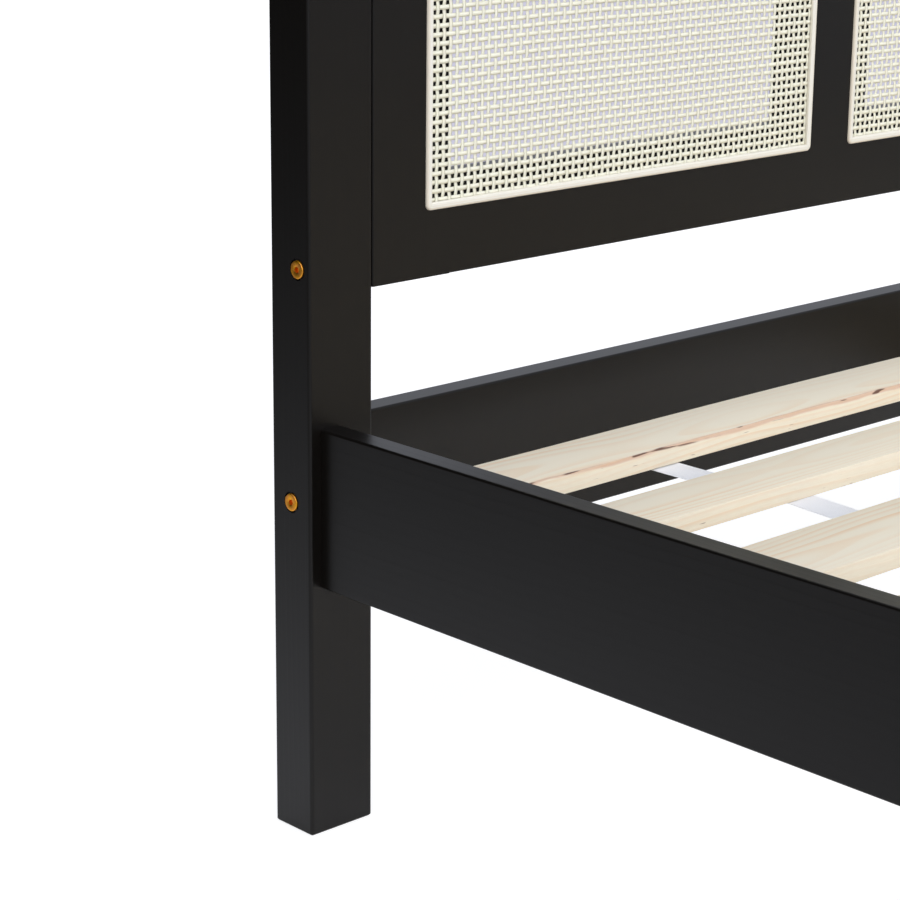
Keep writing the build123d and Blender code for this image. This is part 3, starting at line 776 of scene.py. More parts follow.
def weave_strands(tree, source, level):
    """The strands of the cane sheet that run one way, over and under the others, flat on the XY plane."""
    run, cross = ("Width", "Height") if level else ("Height", "Width")
    run_pitch, cross_pitch = ("Pitch Across", "Pitch Up") if level else ("Pitch Up", "Pitch Across")
    crossings = calc("FLOOR", ratio(source[run], source[run_pitch]))
    strands = calc("FLOOR", ratio(source[cross], source[cross_pitch]))
    run_start = times(minus(crossings, 1.0), times(source[run_pitch], -0.5))
    cross_start = times(minus(strands, 1.0), times(source[cross_pitch], -0.5))
    end = minus(run_start, times(source[run_pitch], LOOSE_END))
    far_end = times(end, -1.0)
    first, last = (join(end, 0.0, 0.0), join(far_end, 0.0, 0.0))
    row_start, row_step = (join(0.0, cross_start, 0.0), join(0.0, source[cross_pitch], 0.0))
    if not level:
        first, last = (join(0.0, end, 0.0), join(0.0, far_end, 0.0))
        row_start, row_step = (join(cross_start, 0.0, 0.0), join(source[cross_pitch], 0.0, 0.0))
    line = add(tree, "GeometryNodeCurvePrimitiveLine", {"Start": first, "End": last}).outputs[0]
    line = add(tree, "GeometryNodeResampleCurve", {0: line, "Count": times(crossings, 2.0)}).outputs[0]
    row = add(tree, "GeometryNodeMeshLine",
              {"Count": strands, "Start Location": row_start, "Offset": row_step}).outputs[0]
    placed = add(tree, "GeometryNodeInstanceOnPoints", {"Points": row, "Instance": line}).outputs[0]
    curves = add(tree, "GeometryNodeRealizeInstances", {0: placed}).outputs[0]

    x, y, _ = split(add(tree, "GeometryNodeInputPosition").outputs[0])
    along, across = (x, y) if level else (y, x)
    turns = plus(ratio(minus(along, run_start), source[run_pitch]),
                 ratio(minus(across, cross_start), source[cross_pitch]))
    wave = calc("COSINE", times(turns, math.pi))
    depth = times(wave, times(source["Weave Depth"], 1.0 if level else -1.0))
    number = ratio(across, source[cross_pitch])
    stray = noise(join(times(along, 16.0), times(number, 7.3), source["Seed"]), detail=2.0)[0]
    aside = times(calc("MULTIPLY_ADD", stray, 2.0, -1.0), source["Wander"])
    offset = join(0.0, aside, depth) if level else join(aside, 0.0, depth)
    curves = add(tree, "GeometryNodeSetPosition", {0: curves, "Offset": offset}).outputs[0]
    curves = add(tree, "GeometryNodeSetCurveNormal", {0: curves}, mode="Z_UP").outputs[0]
    spread = noise(join(times(along, 9.0), times(number, 3.1), 5.0), detail=1.0)[0]
    swell = ranged(spread, 0.2, 0.8, *STRAND_SPREAD)
    curves = add(tree, "GeometryNodeSetCurveRadius", {0: curves, "Radius": swell}).outputs[0]
    curves = stored(tree, curves, "shade", random_value(tree, 0.0, 1.0, 5 if level else 9), "FLOAT", "CURVE")
    curves = stored(tree, curves, "level", 1.0 if level else 0.0, "FLOAT", "CURVE")
    ring = add(tree, "GeometryNodeCurvePrimitiveCircle", {"Resolution": 5, "Radius": SECTION_RADIUS},
               mode="RADIUS").outputs[0]
    ring = add(tree, "GeometryNodeTransform", {0: ring, "Rotation": (0.0, 0.0, math.radians(54))}).outputs[0]
    section = add(tree, "GeometryNodeTransform", {
        0: ring, "Scale": join(source["Strand Width"], source["Strand Thickness"], 1.0)}).outputs[0]
    return add(tree, "GeometryNodeCurveToMesh",
               {"Curve": curves, "Profile Curve": section, "Fill Caps": True}).outputs[0]


def build_cane_weave(name):
    """A sheet of plain-woven cane, upright, facing -Y, centred on a point."""
    inputs = {"Width": 0.5, "Height": 0.5, "Pitch Across": 0.0076, "Pitch Up": 0.0075,
              "Strand Width": 0.0035, "Strand Thickness": 0.001, "Weave Depth": 0.0006,
              "Wander": 0.0004, "Seed": 1, "Centre": "NodeSocketVector",
              "Material": "NodeSocketMaterial"}
    tree, source, sink = group(name, "GeometryNodeTree", inputs, ["Geometry"])
    both = add(tree, "GeometryNodeJoinGeometry")
    for level in (True, False):
        tree.links.new(weave_strands(tree, source, level), both.inputs[0])
    place = add(tree, "GeometryNodeInputPosition").outputs[0]
    pull = noise(vector_calc("ADD", place, join(0.0, 0.0, source["Seed"])), scale=7.0, detail=1.0)[1]
    pull = stretched(centred(pull), SHEET_PULL, SHEET_PULL, 0.0)
    warped = add(tree, "GeometryNodeSetPosition", {0: both.outputs[0], "Offset": pull}).outputs[0]
    smooth = add(tree, "GeometryNodeSetShadeSmooth", {0: warped}).outputs[0]
    upright = add(tree, "GeometryNodeTransform", {
        0: smooth, "Translation": source["Centre"], "Rotation": (math.radians(90), 0.0, 0.0)}).outputs[0]
    close_tree(tree, upright, source["Material"], sink)
    return tree


def build_slat_row(name):
    """A row of slats across the bed, in three widths that take turns, each with its own bow."""
    inputs = {"Count": 13, "Pitch": 0.15, "First Edge": 1.0, "Width 1": 0.07, "Width 2": 0.06,
              "Width 3": 0.08, "Length": 1.8, "Thickness": 0.017, "Underside": 0.3, "Arris": 0.001,
              "Bow": 0.001, "Seed": 1, "Material": "NodeSocketMaterial"}
    tree, source, sink = group(name, "GeometryNodeTree", inputs, ["Geometry"])
    half = times(source["Length"], 0.5)
    line = add(tree, "GeometryNodeCurvePrimitiveLine", {
        "Start": join(times(half, -1.0), 0.0, 0.0), "End": join(half, 0.0, 0.0)}).outputs[0]
    line = add(tree, "GeometryNodeResampleCurve", {0: line, "Count": 49}).outputs[0]
    line = add(tree, "GeometryNodeSetCurveNormal", {0: line}, mode="Z_UP").outputs[0]
    row = add(tree, "GeometryNodeMeshLine", {
        "Count": source["Count"], "Start Location": join(0.0, source["First Edge"], 0.0),
        "Offset": join(0.0, times(source["Pitch"], -1.0), 0.0)}).outputs[0]
    index = add(tree, "GeometryNodeInputIndex").outputs[0]
    turn = calc("MODULO", index, 3.0)
    every = add(tree, "GeometryNodeJoinGeometry")
    for kind in range(3):
        width = source[f"Width {kind + 1}"]
        outline = add(tree, "GeometryNodeCurvePrimitiveQuadrilateral",
                      {"Width": width, "Height": source["Thickness"]}).outputs[0]
        outline = add(tree, "GeometryNodeFilletCurve", {0: outline, "Count": 3, "Radius": source["Arris"]},
                      mode="POLY").outputs[0]
        plank = add(tree, "GeometryNodeCurveToMesh",
                    {"Curve": line, "Profile Curve": outline, "Fill Caps": True}).outputs[0]
        to_edge = join(0.0, times(width, -0.5),
                       calc("MULTIPLY_ADD", source["Thickness"], 0.5, source["Underside"]))
        plank = add(tree, "GeometryNodeTransform", {0: plank, "Translation": to_edge}).outputs[0]
        from_foot_side = plus(split(add(tree, "GeometryNodeInputPosition").outputs[0])[1], width)
        plank = stored(tree, plank, "lane", from_foot_side, "FLOAT", "POINT")
        chosen = add(tree, "FunctionNodeCompare", {0: turn, 1: float(kind)}, data_type="FLOAT",
                     operation="EQUAL").outputs[0]
        placed = add(tree, "GeometryNodeInstanceOnPoints",
                     {"Points": row, "Selection": chosen, "Instance": plank}).outputs[0]
        board = join(*[random_value(tree, 0.0, 1.0,
                                    plus(source["Seed"], 10.0 * kind + part)) for part in range(3)])
        tree.links.new(stored(tree, placed, "board", board, "FLOAT_VECTOR", "INSTANCE"), every.inputs[0])
    real = add(tree, "GeometryNodeRealizeInstances", {0: every.outputs[0]}).outputs[0]
    x, y, _ = split(add(tree, "GeometryNodeInputPosition").outputs[0])
    share = split(add(tree, "GeometryNodeInputNamedAttribute", {"Name": "board"},
                      data_type="FLOAT_VECTOR").outputs[0])[1]
    span = ratio(calc("ABSOLUTE", x), half)
    lift = calc("MULTIPLY_ADD", calc("COSINE", times(span, 2 * math.pi)), -0.5, 0.5)
    headmost = calc("GREATER_THAN", y, minus(source["First Edge"], times(source["Pitch"], 0.8)))
    share = calc("MAXIMUM", times(share, 0.45), headmost)
    rise = times(times(lift, share), source["Bow"])
    bowed = add(tree, "GeometryNodeSetPosition", {0: real, "Offset": join(0.0, 0.0, rise)}).outputs[0]
    close_tree(tree, bowed, source["Material"], sink)
    return tree


def build_fasteners(name):
    """Copies of one fastener on points, each turned to face its way and spun by chance about its own line."""
    inputs = {"Points": "NodeSocketGeometry", "Fastener": "NodeSocketObject", "Spin": 0.0, "Seed": 1,
              "Material": "NodeSocketMaterial"}
    tree, source, sink = group(name, "GeometryNodeTree", inputs, ["Geometry"])
    facing = add(tree, "GeometryNodeInputNamedAttribute", {"Name": "facing"},
                 data_type="FLOAT_VECTOR").outputs[0]
    turned = add(tree, "FunctionNodeAlignRotationToVector", {"Vector": facing}, axis="Z").outputs[0]
    angle = times(random_value(tree, 0.0, 1.0, source["Seed"]), source["Spin"])
    spin = add(tree, "FunctionNodeAxisAngleToRotation", {"Axis": (0.0, 0.0, 1.0), "Angle": angle}).outputs[0]
    turned = add(tree, "FunctionNodeRotateRotation", {"Rotation": turned, "Rotate By": spin},
                 rotation_space="LOCAL").outputs[0]
    fastener = add(tree, "GeometryNodeObjectInfo", {"Object": source["Fastener"]}).outputs["Geometry"]
    placed = add(tree, "GeometryNodeInstanceOnPoints", {
        "Points": source["Points"], "Instance": fastener, "Rotation": turned}).outputs[0]
    close_tree(tree, placed, source["Material"], sink)
    return tree


# Mesh helpers

def skinned(name, rings, smooth_angle=40.0):
    """A closed mesh over rings of points, each joined to the next, with a face at either end."""
    mesh = bmesh.new()
    loops = [[mesh.verts.new(point) for point in ring] for ring in rings]
    for near, far in zip(loops, loops[1:]):
        for i, vertex in enumerate(near):
            after = (i + 1) % len(near)
            mesh.faces.new((vertex, near[after], far[after], far[i]))
    mesh.faces.new(list(reversed(loops[0])))
    mesh.faces.new(loops[-1])
    return closed(name, mesh, smooth_angle=smooth_angle)


def closed(name, mesh, smooth_angle=40.0):
    """Welds a bmesh, turns its faces outwards, shades it and returns it as a mesh."""
    bmesh.ops.remove_doubles(mesh, verts=mesh.verts, dist=WELD)
    bmesh.ops.dissolve_degenerate(mesh, edges=mesh.edges, dist=WELD)
    bmesh.ops.recalc_face_normals(mesh, faces=mesh.faces)
    made = bpy.data.meshes.new(name)
    mesh.to_mesh(made)
    mesh.free()
    made.shade_smooth()
    made.set_sharp_from_angle(angle=math.radians(smooth_angle))
    return made


def round_ring(radius, height, sides=24):
    """A level ring of points."""
    return [Vector((radius * math.cos(2 * math.pi * i / sides), radius * math.sin(2 * math.pi * i / sides),
                    height))
            for i in range(sides)]


def hexagon_ring(across_flats, height, sides=24):
    """A level ring of points on a hexagon's outline."""
    ring = []
    for i in range(sides):
        angle = 2 * math.pi * i / sides
        from_flat = (angle + math.pi / 6) % (math.pi / 3) - math.pi / 6
        reach = across_flats / 2 / math.cos(from_flat)
        ring.append(Vector((reach * math.cos(angle), reach * math.sin(angle), height)))
    return ring


def cross_ring(arm, half_width, height, sides=24):
    """A level ring of points on a cross's outline, which has as many points as a round ring."""
    corners = []
    for quarter in range(4):
        turn = Matrix.Rotation(quarter * math.pi / 2, 3, "Z")
        for x, y in ((arm, -half_width), (arm, 0.0), (arm, half_width), (half_width * 2, half_width),
                     (half_width, half_width), (half_width, half_width * 2)):
            corners.append(turn @ Vector((x, y, height)))
    return corners[:sides]


def fastener_set(name, template, places, material, spin, seed, nodes):
    """Puts a copy of a fastener at each place, as one piece that stands for its CAD nodes."""
    mesh = bpy.data.meshes.new(name)
    mesh.from_pydata([point for point, _ in places], [], [])
    facing = mesh.attributes.new("facing", "FLOAT_VECTOR", "POINT")
    facing.data.foreach_set("vector", [part for _, way in places for part in way])
    pattern = bpy.data.objects.new(name + "_pattern", template)
    tree = once("Fasteners on points", build_fasteners)
    piece = tree_result(name, tree, {"Fastener": pattern, "Spin": spin, "Seed": seed, "Material": material},
                        mesh)
    bpy.data.objects.remove(pattern)
    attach(piece, body_name(nodes[0]))
    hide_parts(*nodes)
    return piece


def body_name(node):
    """The name of the body that a CAD node belongs to."""
    return frame["nodes"][node]["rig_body"]


def paint(node, material):
    """Puts a material in every slot of a CAD node."""
    slots = frame["nodes"][node].material_slots
    if not slots:
        raise RuntimeError(f"{node} has no material slot")
    for slot in slots:
        slot.material = material


# Operators, one for each piece or group of like pieces

class BED_OT_lacquer_frame(bpy.types.Operator):
    """Gives the posts, rails, headboard members and slat ledges their black satin lacquer"""
    bl_idname = "platform_bed.lacquer_frame"
    bl_label = "Lacquer the frame"

    members = {
        "X": ("head_rail", "foot_rail", "headboard_top_member", "headboard_bottom_member"),
        "Y": ("side_rail_left", "side_rail_right", "slat_ledge_left", "slat_ledge_right"),
        "Z": ("head_post_left", "head_post_right", "foot_leg_left", "foot_leg_right", "headboard_stile_left",
              "headboard_stile_right", "headboard_mid_stile_1", "headboard_mid_stile_2"),
    }

    def execute(self, context):
        for axis, names in self.members.items():
            for name in names:
                paint(name, lacquer(axis))
        return {"FINISHED"}


class BED_OT_centre_support(bpy.types.Operator):
    """Finishes the centre beam, its legs and its hardware, and the hidden dowels"""
    bl_idname = "platform_bed.centre_support"
    bl_label = "Finish the centre support"

    def execute(self, context):
        hardware = context.scene.bed_hardware
        paint("centre_beam", pine("Beam pine", axis="Y", pith=(0.0, 0.05, 0.02)))
        leg_pine = pine("Leg pine", axis="Z", pith=(0.0, 0.03, 0.06), ring_gap=0.005)
        for name in CENTRE_LEGS:
            paint(name, leg_pine)
        coat = powder_coat()
        for name in ("beam_hanger_head", "beam_hanger_foot"):
            paint(name, coat)
        foot = foot_material()
        for name in LEVELLING_FEET:
            paint(name, foot)
        steel = plated_steel("Bright plated inserts", colour=hardware.bright, second=INSERT_PLATE,
                             roughness=0.32)
        for name in ("leg_studs", "foot_inserts"):
            paint(name, steel)
        dowels = beech()
        for name in ("rail_dowels", "headboard_dowels"):
            paint(name, dowels)
        return {"FINISHED"}


class BED_OT_weave_cane(bpy.types.Operator):
    """Weaves a sheet of cane for each headboard panel"""
    bl_idname = "platform_bed.weave_cane"
    bl_label = "Weave the cane"

    def execute(self, context):
        setting = context.scene.bed_cane
        skin = cane_skin()
        tree = once("Cane weave", build_cane_weave)
        for number, node in enumerate(CANE_PANELS, 1):
            size = extent(node)
            sheet = tree_result(f"cane_weave_{number}", tree, {
                "Width": size.x, "Height": size.z,
                "Pitch Across": setting.pitch_across, "Pitch Up": setting.pitch_up,
                "Strand Width": setting.strand_width, "Strand Thickness": setting.strand_thickness,
                "Weave Depth": setting.strand_thickness * 0.55, "Wander": setting.wander,
                "Seed": setting.seed + number, "Centre": middle(node), "Material": skin})
            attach(sheet, body_name(node))
            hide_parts(node)
        return {"FINISHED"}


def bead_profile(width, height, recess, steps=8):
    """A bead's section: how far each point lies in from its outer edge, and how far it stands forward."""
    points = [(0.0, 0.0)]
    for i in range(steps + 1):
        angle = math.pi * i / steps
        swell = math.sin(angle) ** 0.55 if 0 < i < steps else 0.0
        inset = width / 2 * (1 - math.copysign(abs(math.cos(angle)) ** 0.7, math.cos(angle)))
        points.append((inset, recess + (height - recess) * swell))
    points.append((width, 0.0))
    return points


def bead_outline(half_run, half_rise, corner, inset, steps=5):
    """The lower edge of a bay's rounded outline, drawn in by an inset, between its corners' middles."""
    radius = max(corner - inset, 0.0)
    hub = max(corner, inset)
    points = []
    for side in (-1, 1):
        for i in range(steps + 1):
            share = i / steps if side > 0 else 1 - i / steps
            angle = -math.pi / 2 + side * share * math.pi / 4
            points.append((side * (half_run - hub) + radius * math.cos(angle),
                           -(half_rise - hub) + radius * math.sin(angle)))
    return points


class BED_OT_cut_beads(bpy.types.Operator):
    """Cuts the four mitred beads round each sheet of cane"""
    bl_idname = "platform_bed.cut_beads"
    bl_label = "Cut the beads"

    mitre_gap = 0.12 * MM
    bead_width = 6.5 * MM
    bay_corner = 5.3 * MM

    def strip(self, mesh, layer, centre, run, rise, turn, size_y, front):
        """Adds one bead to a bmesh: the bay's lower one, turned by quarter turns."""
        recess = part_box(CANE_PANELS[0])[0].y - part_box("headboard_bottom_member")[0].y
        profile = bead_profile(self.bead_width, size_y, recess)
        rotation = Matrix.Rotation(turn * math.pi / 2, 3, "Y")
        squeeze = 1 - 2 * self.mitre_gap / run
        rows = []
        for inset, proud in profile:
            row = []
            for u, v in bead_outline(run / 2, rise / 2, self.bay_corner, inset):
                local = Vector((u * squeeze, front - proud, v))
                spun = rotation @ Vector((local.x, 0.0, local.z))
                vertex = mesh.verts.new(Vector((centre.x + spun.x, local.y, centre.z + spun.z)))
                vertex[layer] = Vector((u + 3.1 * turn + centre.x, inset, proud + 0.3 * turn))
                row.append(vertex)
            rows.append(row)
        for near, far in zip(rows, rows[1:] + rows[:1]):
            for i in range(len(near) - 1):
                mesh.faces.new((near[i], near[i + 1], far[i + 1], far[i]))
        mesh.faces.new([row[0] for row in rows])
        mesh.faces.new([row[-1] for row in reversed(rows)])

    def execute(self, context):
        wood = bead_wood()
        for number, node in enumerate(CANE_BEADS, 1):
            size, centre = extent(node), middle(node)
            mesh = bmesh.new()
            layer = mesh.verts.layers.float_vector.new("strip")
            for turn in range(4):
                run, rise = (size.x, size.z) if turn % 2 == 0 else (size.z, size.x)
                self.strip(mesh, layer, centre, run, rise, turn, size.y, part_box(node)[1].y)
            made = closed(f"cane_bead_frame_{number}", mesh, smooth_angle=50.0)
            made.materials.append(wood)
            piece = bpy.data.objects.new(made.name, made)
            context.scene.collection.objects.link(piece)
            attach(piece, body_name(node))
            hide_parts(node)
        return {"FINISHED"}


class BED_OT_saw_slats(bpy.types.Operator):
    """Saws the row of pine slats, each with its own grain and bow"""
    bl_idname = "platform_bed.saw_slats"
    bl_label = "Saw the slats"

    def execute(self, context):
        setting = context.scene.bed_pine
        first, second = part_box(SLATS[0]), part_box(SLATS[1])
        widths = [extent(name).y for name in SLATS[:3]]
        slats = tree_result("pine_slats", once("Slat row", build_slat_row), {
            "Count": len(SLATS), "Pitch": first[1].y - second[1].y, "First Edge": first[1].y,
            "Width 1": widths[0], "Width 2": widths[1], "Width 3": widths[2],
            "Length": first[1].x - first[0].x, "Thickness": first[1].z - first[0].z, "Underside": first[0].z,
            "Arris": setting.arris, "Bow": setting.bow, "Seed": setting.seed,
            "Material": pine("Slat pine", axis="X", pith=(0.0, -0.065, 0.03), boards=True)})
        slats.data.shade_smooth()
        slats.data.set_sharp_from_angle(angle=math.radians(35))
        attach(slats, "slat_roll")
        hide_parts(*SLATS)
        return {"FINISHED"}


def shift_at(knots, y):
    """How far the webbing has strayed sideways at a place along the bed, from where it is held."""
    for (near, start), (far, end) in zip(knots, knots[1:]):
        if far <= y <= near:
            return start + (end - start) * (near - y) / max(near - far, WELD)
    return knots[-1][1]


class BED_OT_stitch_straps(bpy.types.Operator):
    """Makes the two lengths of webbing under the slats"""
    bl_idname = "platform_bed.stitch_straps"
    bl_label = "Make the webbing straps"

    stations = 420
    first_shifts = ((-0.001, 0.002), (0.011, 0.003))

    def section(self, width, thickness):
        """The webbing's section, a flat loop with rounded selvedges: across, and down from its top."""
        points = []
        columns = 10
        for i in range(columns + 1):
            share = i / columns
            points.append((width * (share - 0.5), 0.0 if 0 < i < columns else thickness * 0.35))
        for i in range(columns, -1, -1):
            share = i / columns
            points.append((width * (share - 0.5), thickness if 0 < i < columns else thickness * 0.65))
        return points

    def sag_at(self, y, gaps, sags):
        """How far the webbing hangs below the slats at a place along the bed."""
        for (near, far), sag in zip(gaps, sags):
            if near < y < far:
                share = (y - near) / (far - near)
                return sag * 4 * share * (1 - share)
        return 0.0

    def execute(self, context):
        setting = context.scene.bed_strap
        cloth = webbing()
        edges = [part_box(name) for name in SLATS]
        gaps = [(after[1].y, before[0].y) for before, after in zip(edges, edges[1:])]
        for node in ("slat_strap_left", "slat_strap_right"):
            low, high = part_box(node)
            centre = (low.x + high.x) / 2
            rng = random.Random(setting.seed + (0 if centre < 0 else 1))
            sags = [rng.uniform(0.35, 1.0) * setting.sag for _ in gaps]
            shifts = [(rng.uniform(-1, 1) * setting.stray, rng.uniform(-1, 1) * setting.stray) for _ in gaps]
            if centre < 0:
                shifts[:2] = self.first_shifts
            knots = [(high.y, shifts[0][0])]
            for gap, shift in zip(gaps, shifts):
                knots += [(gap[1], shift[0]), (gap[0], shift[1])]
            knots.append((low.y, shifts[-1][1]))
            outline = self.section(high.x - low.x, setting.thickness)
            mesh = bmesh.new()
            flat = mesh.loops.layers.uv.new("Webbing")
            rows = []
            for i in range(self.stations + 1):
                share = i / self.stations
                y = high.y + (low.y - high.y) * share
                shift = shift_at(knots, y)
                sag = self.sag_at(y, gaps, sags)
                rows.append([mesh.verts.new((centre + shift + across, y, high.z - down - sag))
                             for across, down in outline])
            for i, (near, far) in enumerate(zip(rows, rows[1:])):
                for j in range(len(near)):
                    after = (j + 1) % len(near)
                    face = mesh.faces.new((near[j], near[after], far[after], far[j]))
                    step = (high.y - low.y) / self.stations
                    spots = ((j, i), (after, i), (after, i + 1), (j, i + 1))
                    for loop, (column, station) in zip(face.loops, spots):
                        loop[flat].uv = (outline[column][0], station * step)
            mesh.faces.new(list(reversed(rows[0])))
            mesh.faces.new(rows[-1])
            made = closed(node.replace("slat_strap", "webbing_strap"), mesh, smooth_angle=60.0)
            made.materials.append(cloth)
            strap = bpy.data.objects.new(made.name, made)
            context.scene.collection.objects.link(strap)
            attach(strap, "slat_roll")
            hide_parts(node)
        return {"FINISHED"}


class BED_OT_drive_staples(bpy.types.Operator):
    """Drives the staples that hold the webbing to the slats"""
    bl_idname = "platform_bed.drive_staples"
    bl_label = "Drive the staples"

    wire = 1.2 * MM
    octagon = ((1, 0.5), (0.5, 1), (-0.5, 1), (-1, 0.5), (-1, -0.5), (-0.5, -1), (0.5, -1), (1, -0.5))

    def staple(self, width, depth):
        """A staple of wire, its crown up and its legs down."""
        half, r = width / 2, self.wire / 2
        left = [(-half + r, -depth), (-half + r, -2 * r), (-half + 2.2 * r, -r)]
        path = left + [(-x, z) for x, z in reversed(left)]
        rings = []
        for i, (x, z) in enumerate(path):
            before, after = path[max(i - 1, 0)], path[min(i + 1, len(path) - 1)]
            way = Vector((after[0] - before[0], 0.0, after[1] - before[1])).normalized()
            side = Vector((-way.z, 0.0, way.x))
            rings.append([Vector((x, 0.0, z)) + side * a * r + Vector((0.0, b * r, 0.0)) for a,
                          b in self.octagon])
        return skinned("staple_shape", rings)

    def execute(self, context):
        hardware = context.scene.bed_hardware
        down = Vector((0.0, 0.0, -1.0))
        places = [(Vector(((low.x + high.x) / 2, (low.y + high.y) / 2, low.z)), down)
                  for low, high in solid_boxes("strap_staples")]
        low, high = solid_boxes("strap_staples")[0]
        steel = plated_steel("Staple wire", colour=hardware.bright, second=WIRE_PLATE, roughness=0.30)
        piece = fastener_set("staples", self.staple(high.x - low.x, high.z - low.z), places, steel, spin=0.0,
                             seed=hardware.seed, nodes=["strap_staples"])
        return {"FINISHED"}


class BED_OT_drive_bolts(bpy.types.Operator):
    """Puts in the yellow zinc bolts of the posts"""
    bl_idname = "platform_bed.drive_bolts"
    bl_label = "Drive the bolts"

    head_radius = 7.8 * MM
    head_height = 3.0 * MM
    shank_radius = 4.0 * MM
    socket = 5.0 * MM
    socket_depth = 3.8 * MM

    def bolt(self, length):
        """A bolt that faces +Z, its face at nought: a flat head with a rounded rim and a hexagon socket."""
        head, shank, rim = self.head_radius, self.shank_radius, 0.9 * MM
        rings = [round_ring(shank - 0.8 * MM, -length), round_ring(shank, -length + 0.8 * MM),
                 round_ring(shank, -self.head_height),
                 round_ring(head - 0.4 * MM, -self.head_height),
                 round_ring(head, -self.head_height + 0.5 * MM)]
        for i in range(5):
            angle = math.pi / 2 * i / 4
            rings.append(round_ring(head - rim + rim * math.cos(angle), -rim + rim * math.sin(angle)))
        rings += [round_ring(self.socket * 0.68, 0.0), hexagon_ring(self.socket, -0.35 * MM),
                  hexagon_ring(self.socket, -self.socket_depth),
                  round_ring(self.socket * 0.2, -self.socket_depth - 0.5 * MM)]
        return skinned("bolt_shape", rings, smooth_angle=30.0)

    def execute(self, context):
        hardware = context.scene.bed_hardware
        zinc = plated_steel("Yellow zinc plate", colour=hardware.yellow, second=COPPERY_ZINC, roughness=0.40)
        for node in ("headboard_bolts", "cross_rail_bolts", "side_rail_bolts"):
            places = fastener_places(node, outward=True)
            low, high = solid_boxes(node)[0]
            length = max(high - low)
            piece = fastener_set(node.replace("_bolts", "_bolt_set"), self.bolt(length), places, zinc,
                                 spin=2 * math.pi,
                                 seed=hardware.seed, nodes=[node])
        return {"FINISHED"}


class BED_OT_drive_screws(bpy.types.Operator):
    """Drives the countersunk screws of the ledges and the beam hangers"""
    bl_idname = "platform_bed.drive_screws"
    bl_label = "Drive the screws"

    head_radius = 4.0 * MM
    shank_radius = 2.0 * MM
    head_height = 2.4 * MM

    def screw(self, length):
        """A countersunk screw that faces +Z, its face at nought, with a cross recess."""
        rings = [round_ring(0.4 * MM, -length), round_ring(self.shank_radius * 0.8, -length + 3 * MM),
                 round_ring(self.shank_radius, -length + 6 * MM), round_ring(self.shank_radius,
                                                                             -self.head_height),
                 round_ring(self.head_radius, -0.2 * MM), round_ring(self.head_radius - 0.15 * MM, 0.0),
                 cross_ring(2.1 * MM, 0.45 * MM, 0.0), cross_ring(1.5 * MM, 0.3 * MM, -1.3 * MM)]
        return skinned("screw_shape", rings, smooth_angle=30.0)

    def execute(self, context):
        hardware = context.scene.bed_hardware
        steel = plated_steel("Screw plate", colour=hardware.bright, second=SCREW_PLATE, roughness=0.30)
        for node in ("ledge_screws", "hanger_screws"):
            places = fastener_places(node, outward=False)
            low, high = solid_boxes(node)[0]
            piece = fastener_set(node.replace("_screws", "_screw_set"), self.screw(max(high - low)), places,
                                 steel,
                                 spin=2 * math.pi, seed=hardware.seed, nodes=[node])
        return {"FINISHED"}


class BED_OT_seat_barrel_nuts(bpy.types.Operator):
    """Seats the barrel nuts in the rails and the headboard's stiles"""
    bl_idname = "platform_bed.seat_barrel_nuts"
    bl_label = "Seat the barrel nuts"

    def nut(self, radius, length):
        """A barrel nut that faces +Z, its slotted end at nought."""
        slot = 0.18
        rings = [round_ring(radius - 0.6 * MM, -length), round_ring(radius, -length + 0.6 * MM),
                 round_ring(radius, -0.6 * MM), round_ring(radius - 0.6 * MM, 0.0)]
        flat = []
        sunk = []
        for point in round_ring(radius * 0.74, 0.0):
            squeezed = Vector((point.x, max(min(point.y, radius * slot), -radius * slot), 0.0))
            flat.append(squeezed)
            sunk.append(squeezed - Vector((0.0, 0.0, 1.4 * MM)))
        return skinned("barrel_nut_shape", rings + [flat, sunk], smooth_angle=30.0)

    def execute(self, context):
        hardware = context.scene.bed_hardware
        steel = plated_steel("Nut plate", colour=hardware.bright, second=NUT_PLATE, roughness=0.30)
        headboard_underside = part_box("headboard_bottom_member")[0].z
        places = []
        for point, facing in fastener_places("barrel_nuts", outward=False):
            if point.z > headboard_underside:
                length = extent_along("barrel_nuts")
                point, facing = point - facing * length, -facing
            places.append((point, facing))
        low, high = solid_boxes("barrel_nuts")[0]
        piece = fastener_set("barrel_nut_set", self.nut(min(high - low) / 2, max(high - low)), places, steel,
                             spin=2 * math.pi, seed=hardware.seed, nodes=["barrel_nuts"])
        return {"FINISHED"}


def extent_along(node):
    """The longest side of a multi-solid node's first solid."""
    low, high = solid_boxes(node)[0]
    return max(high - low)


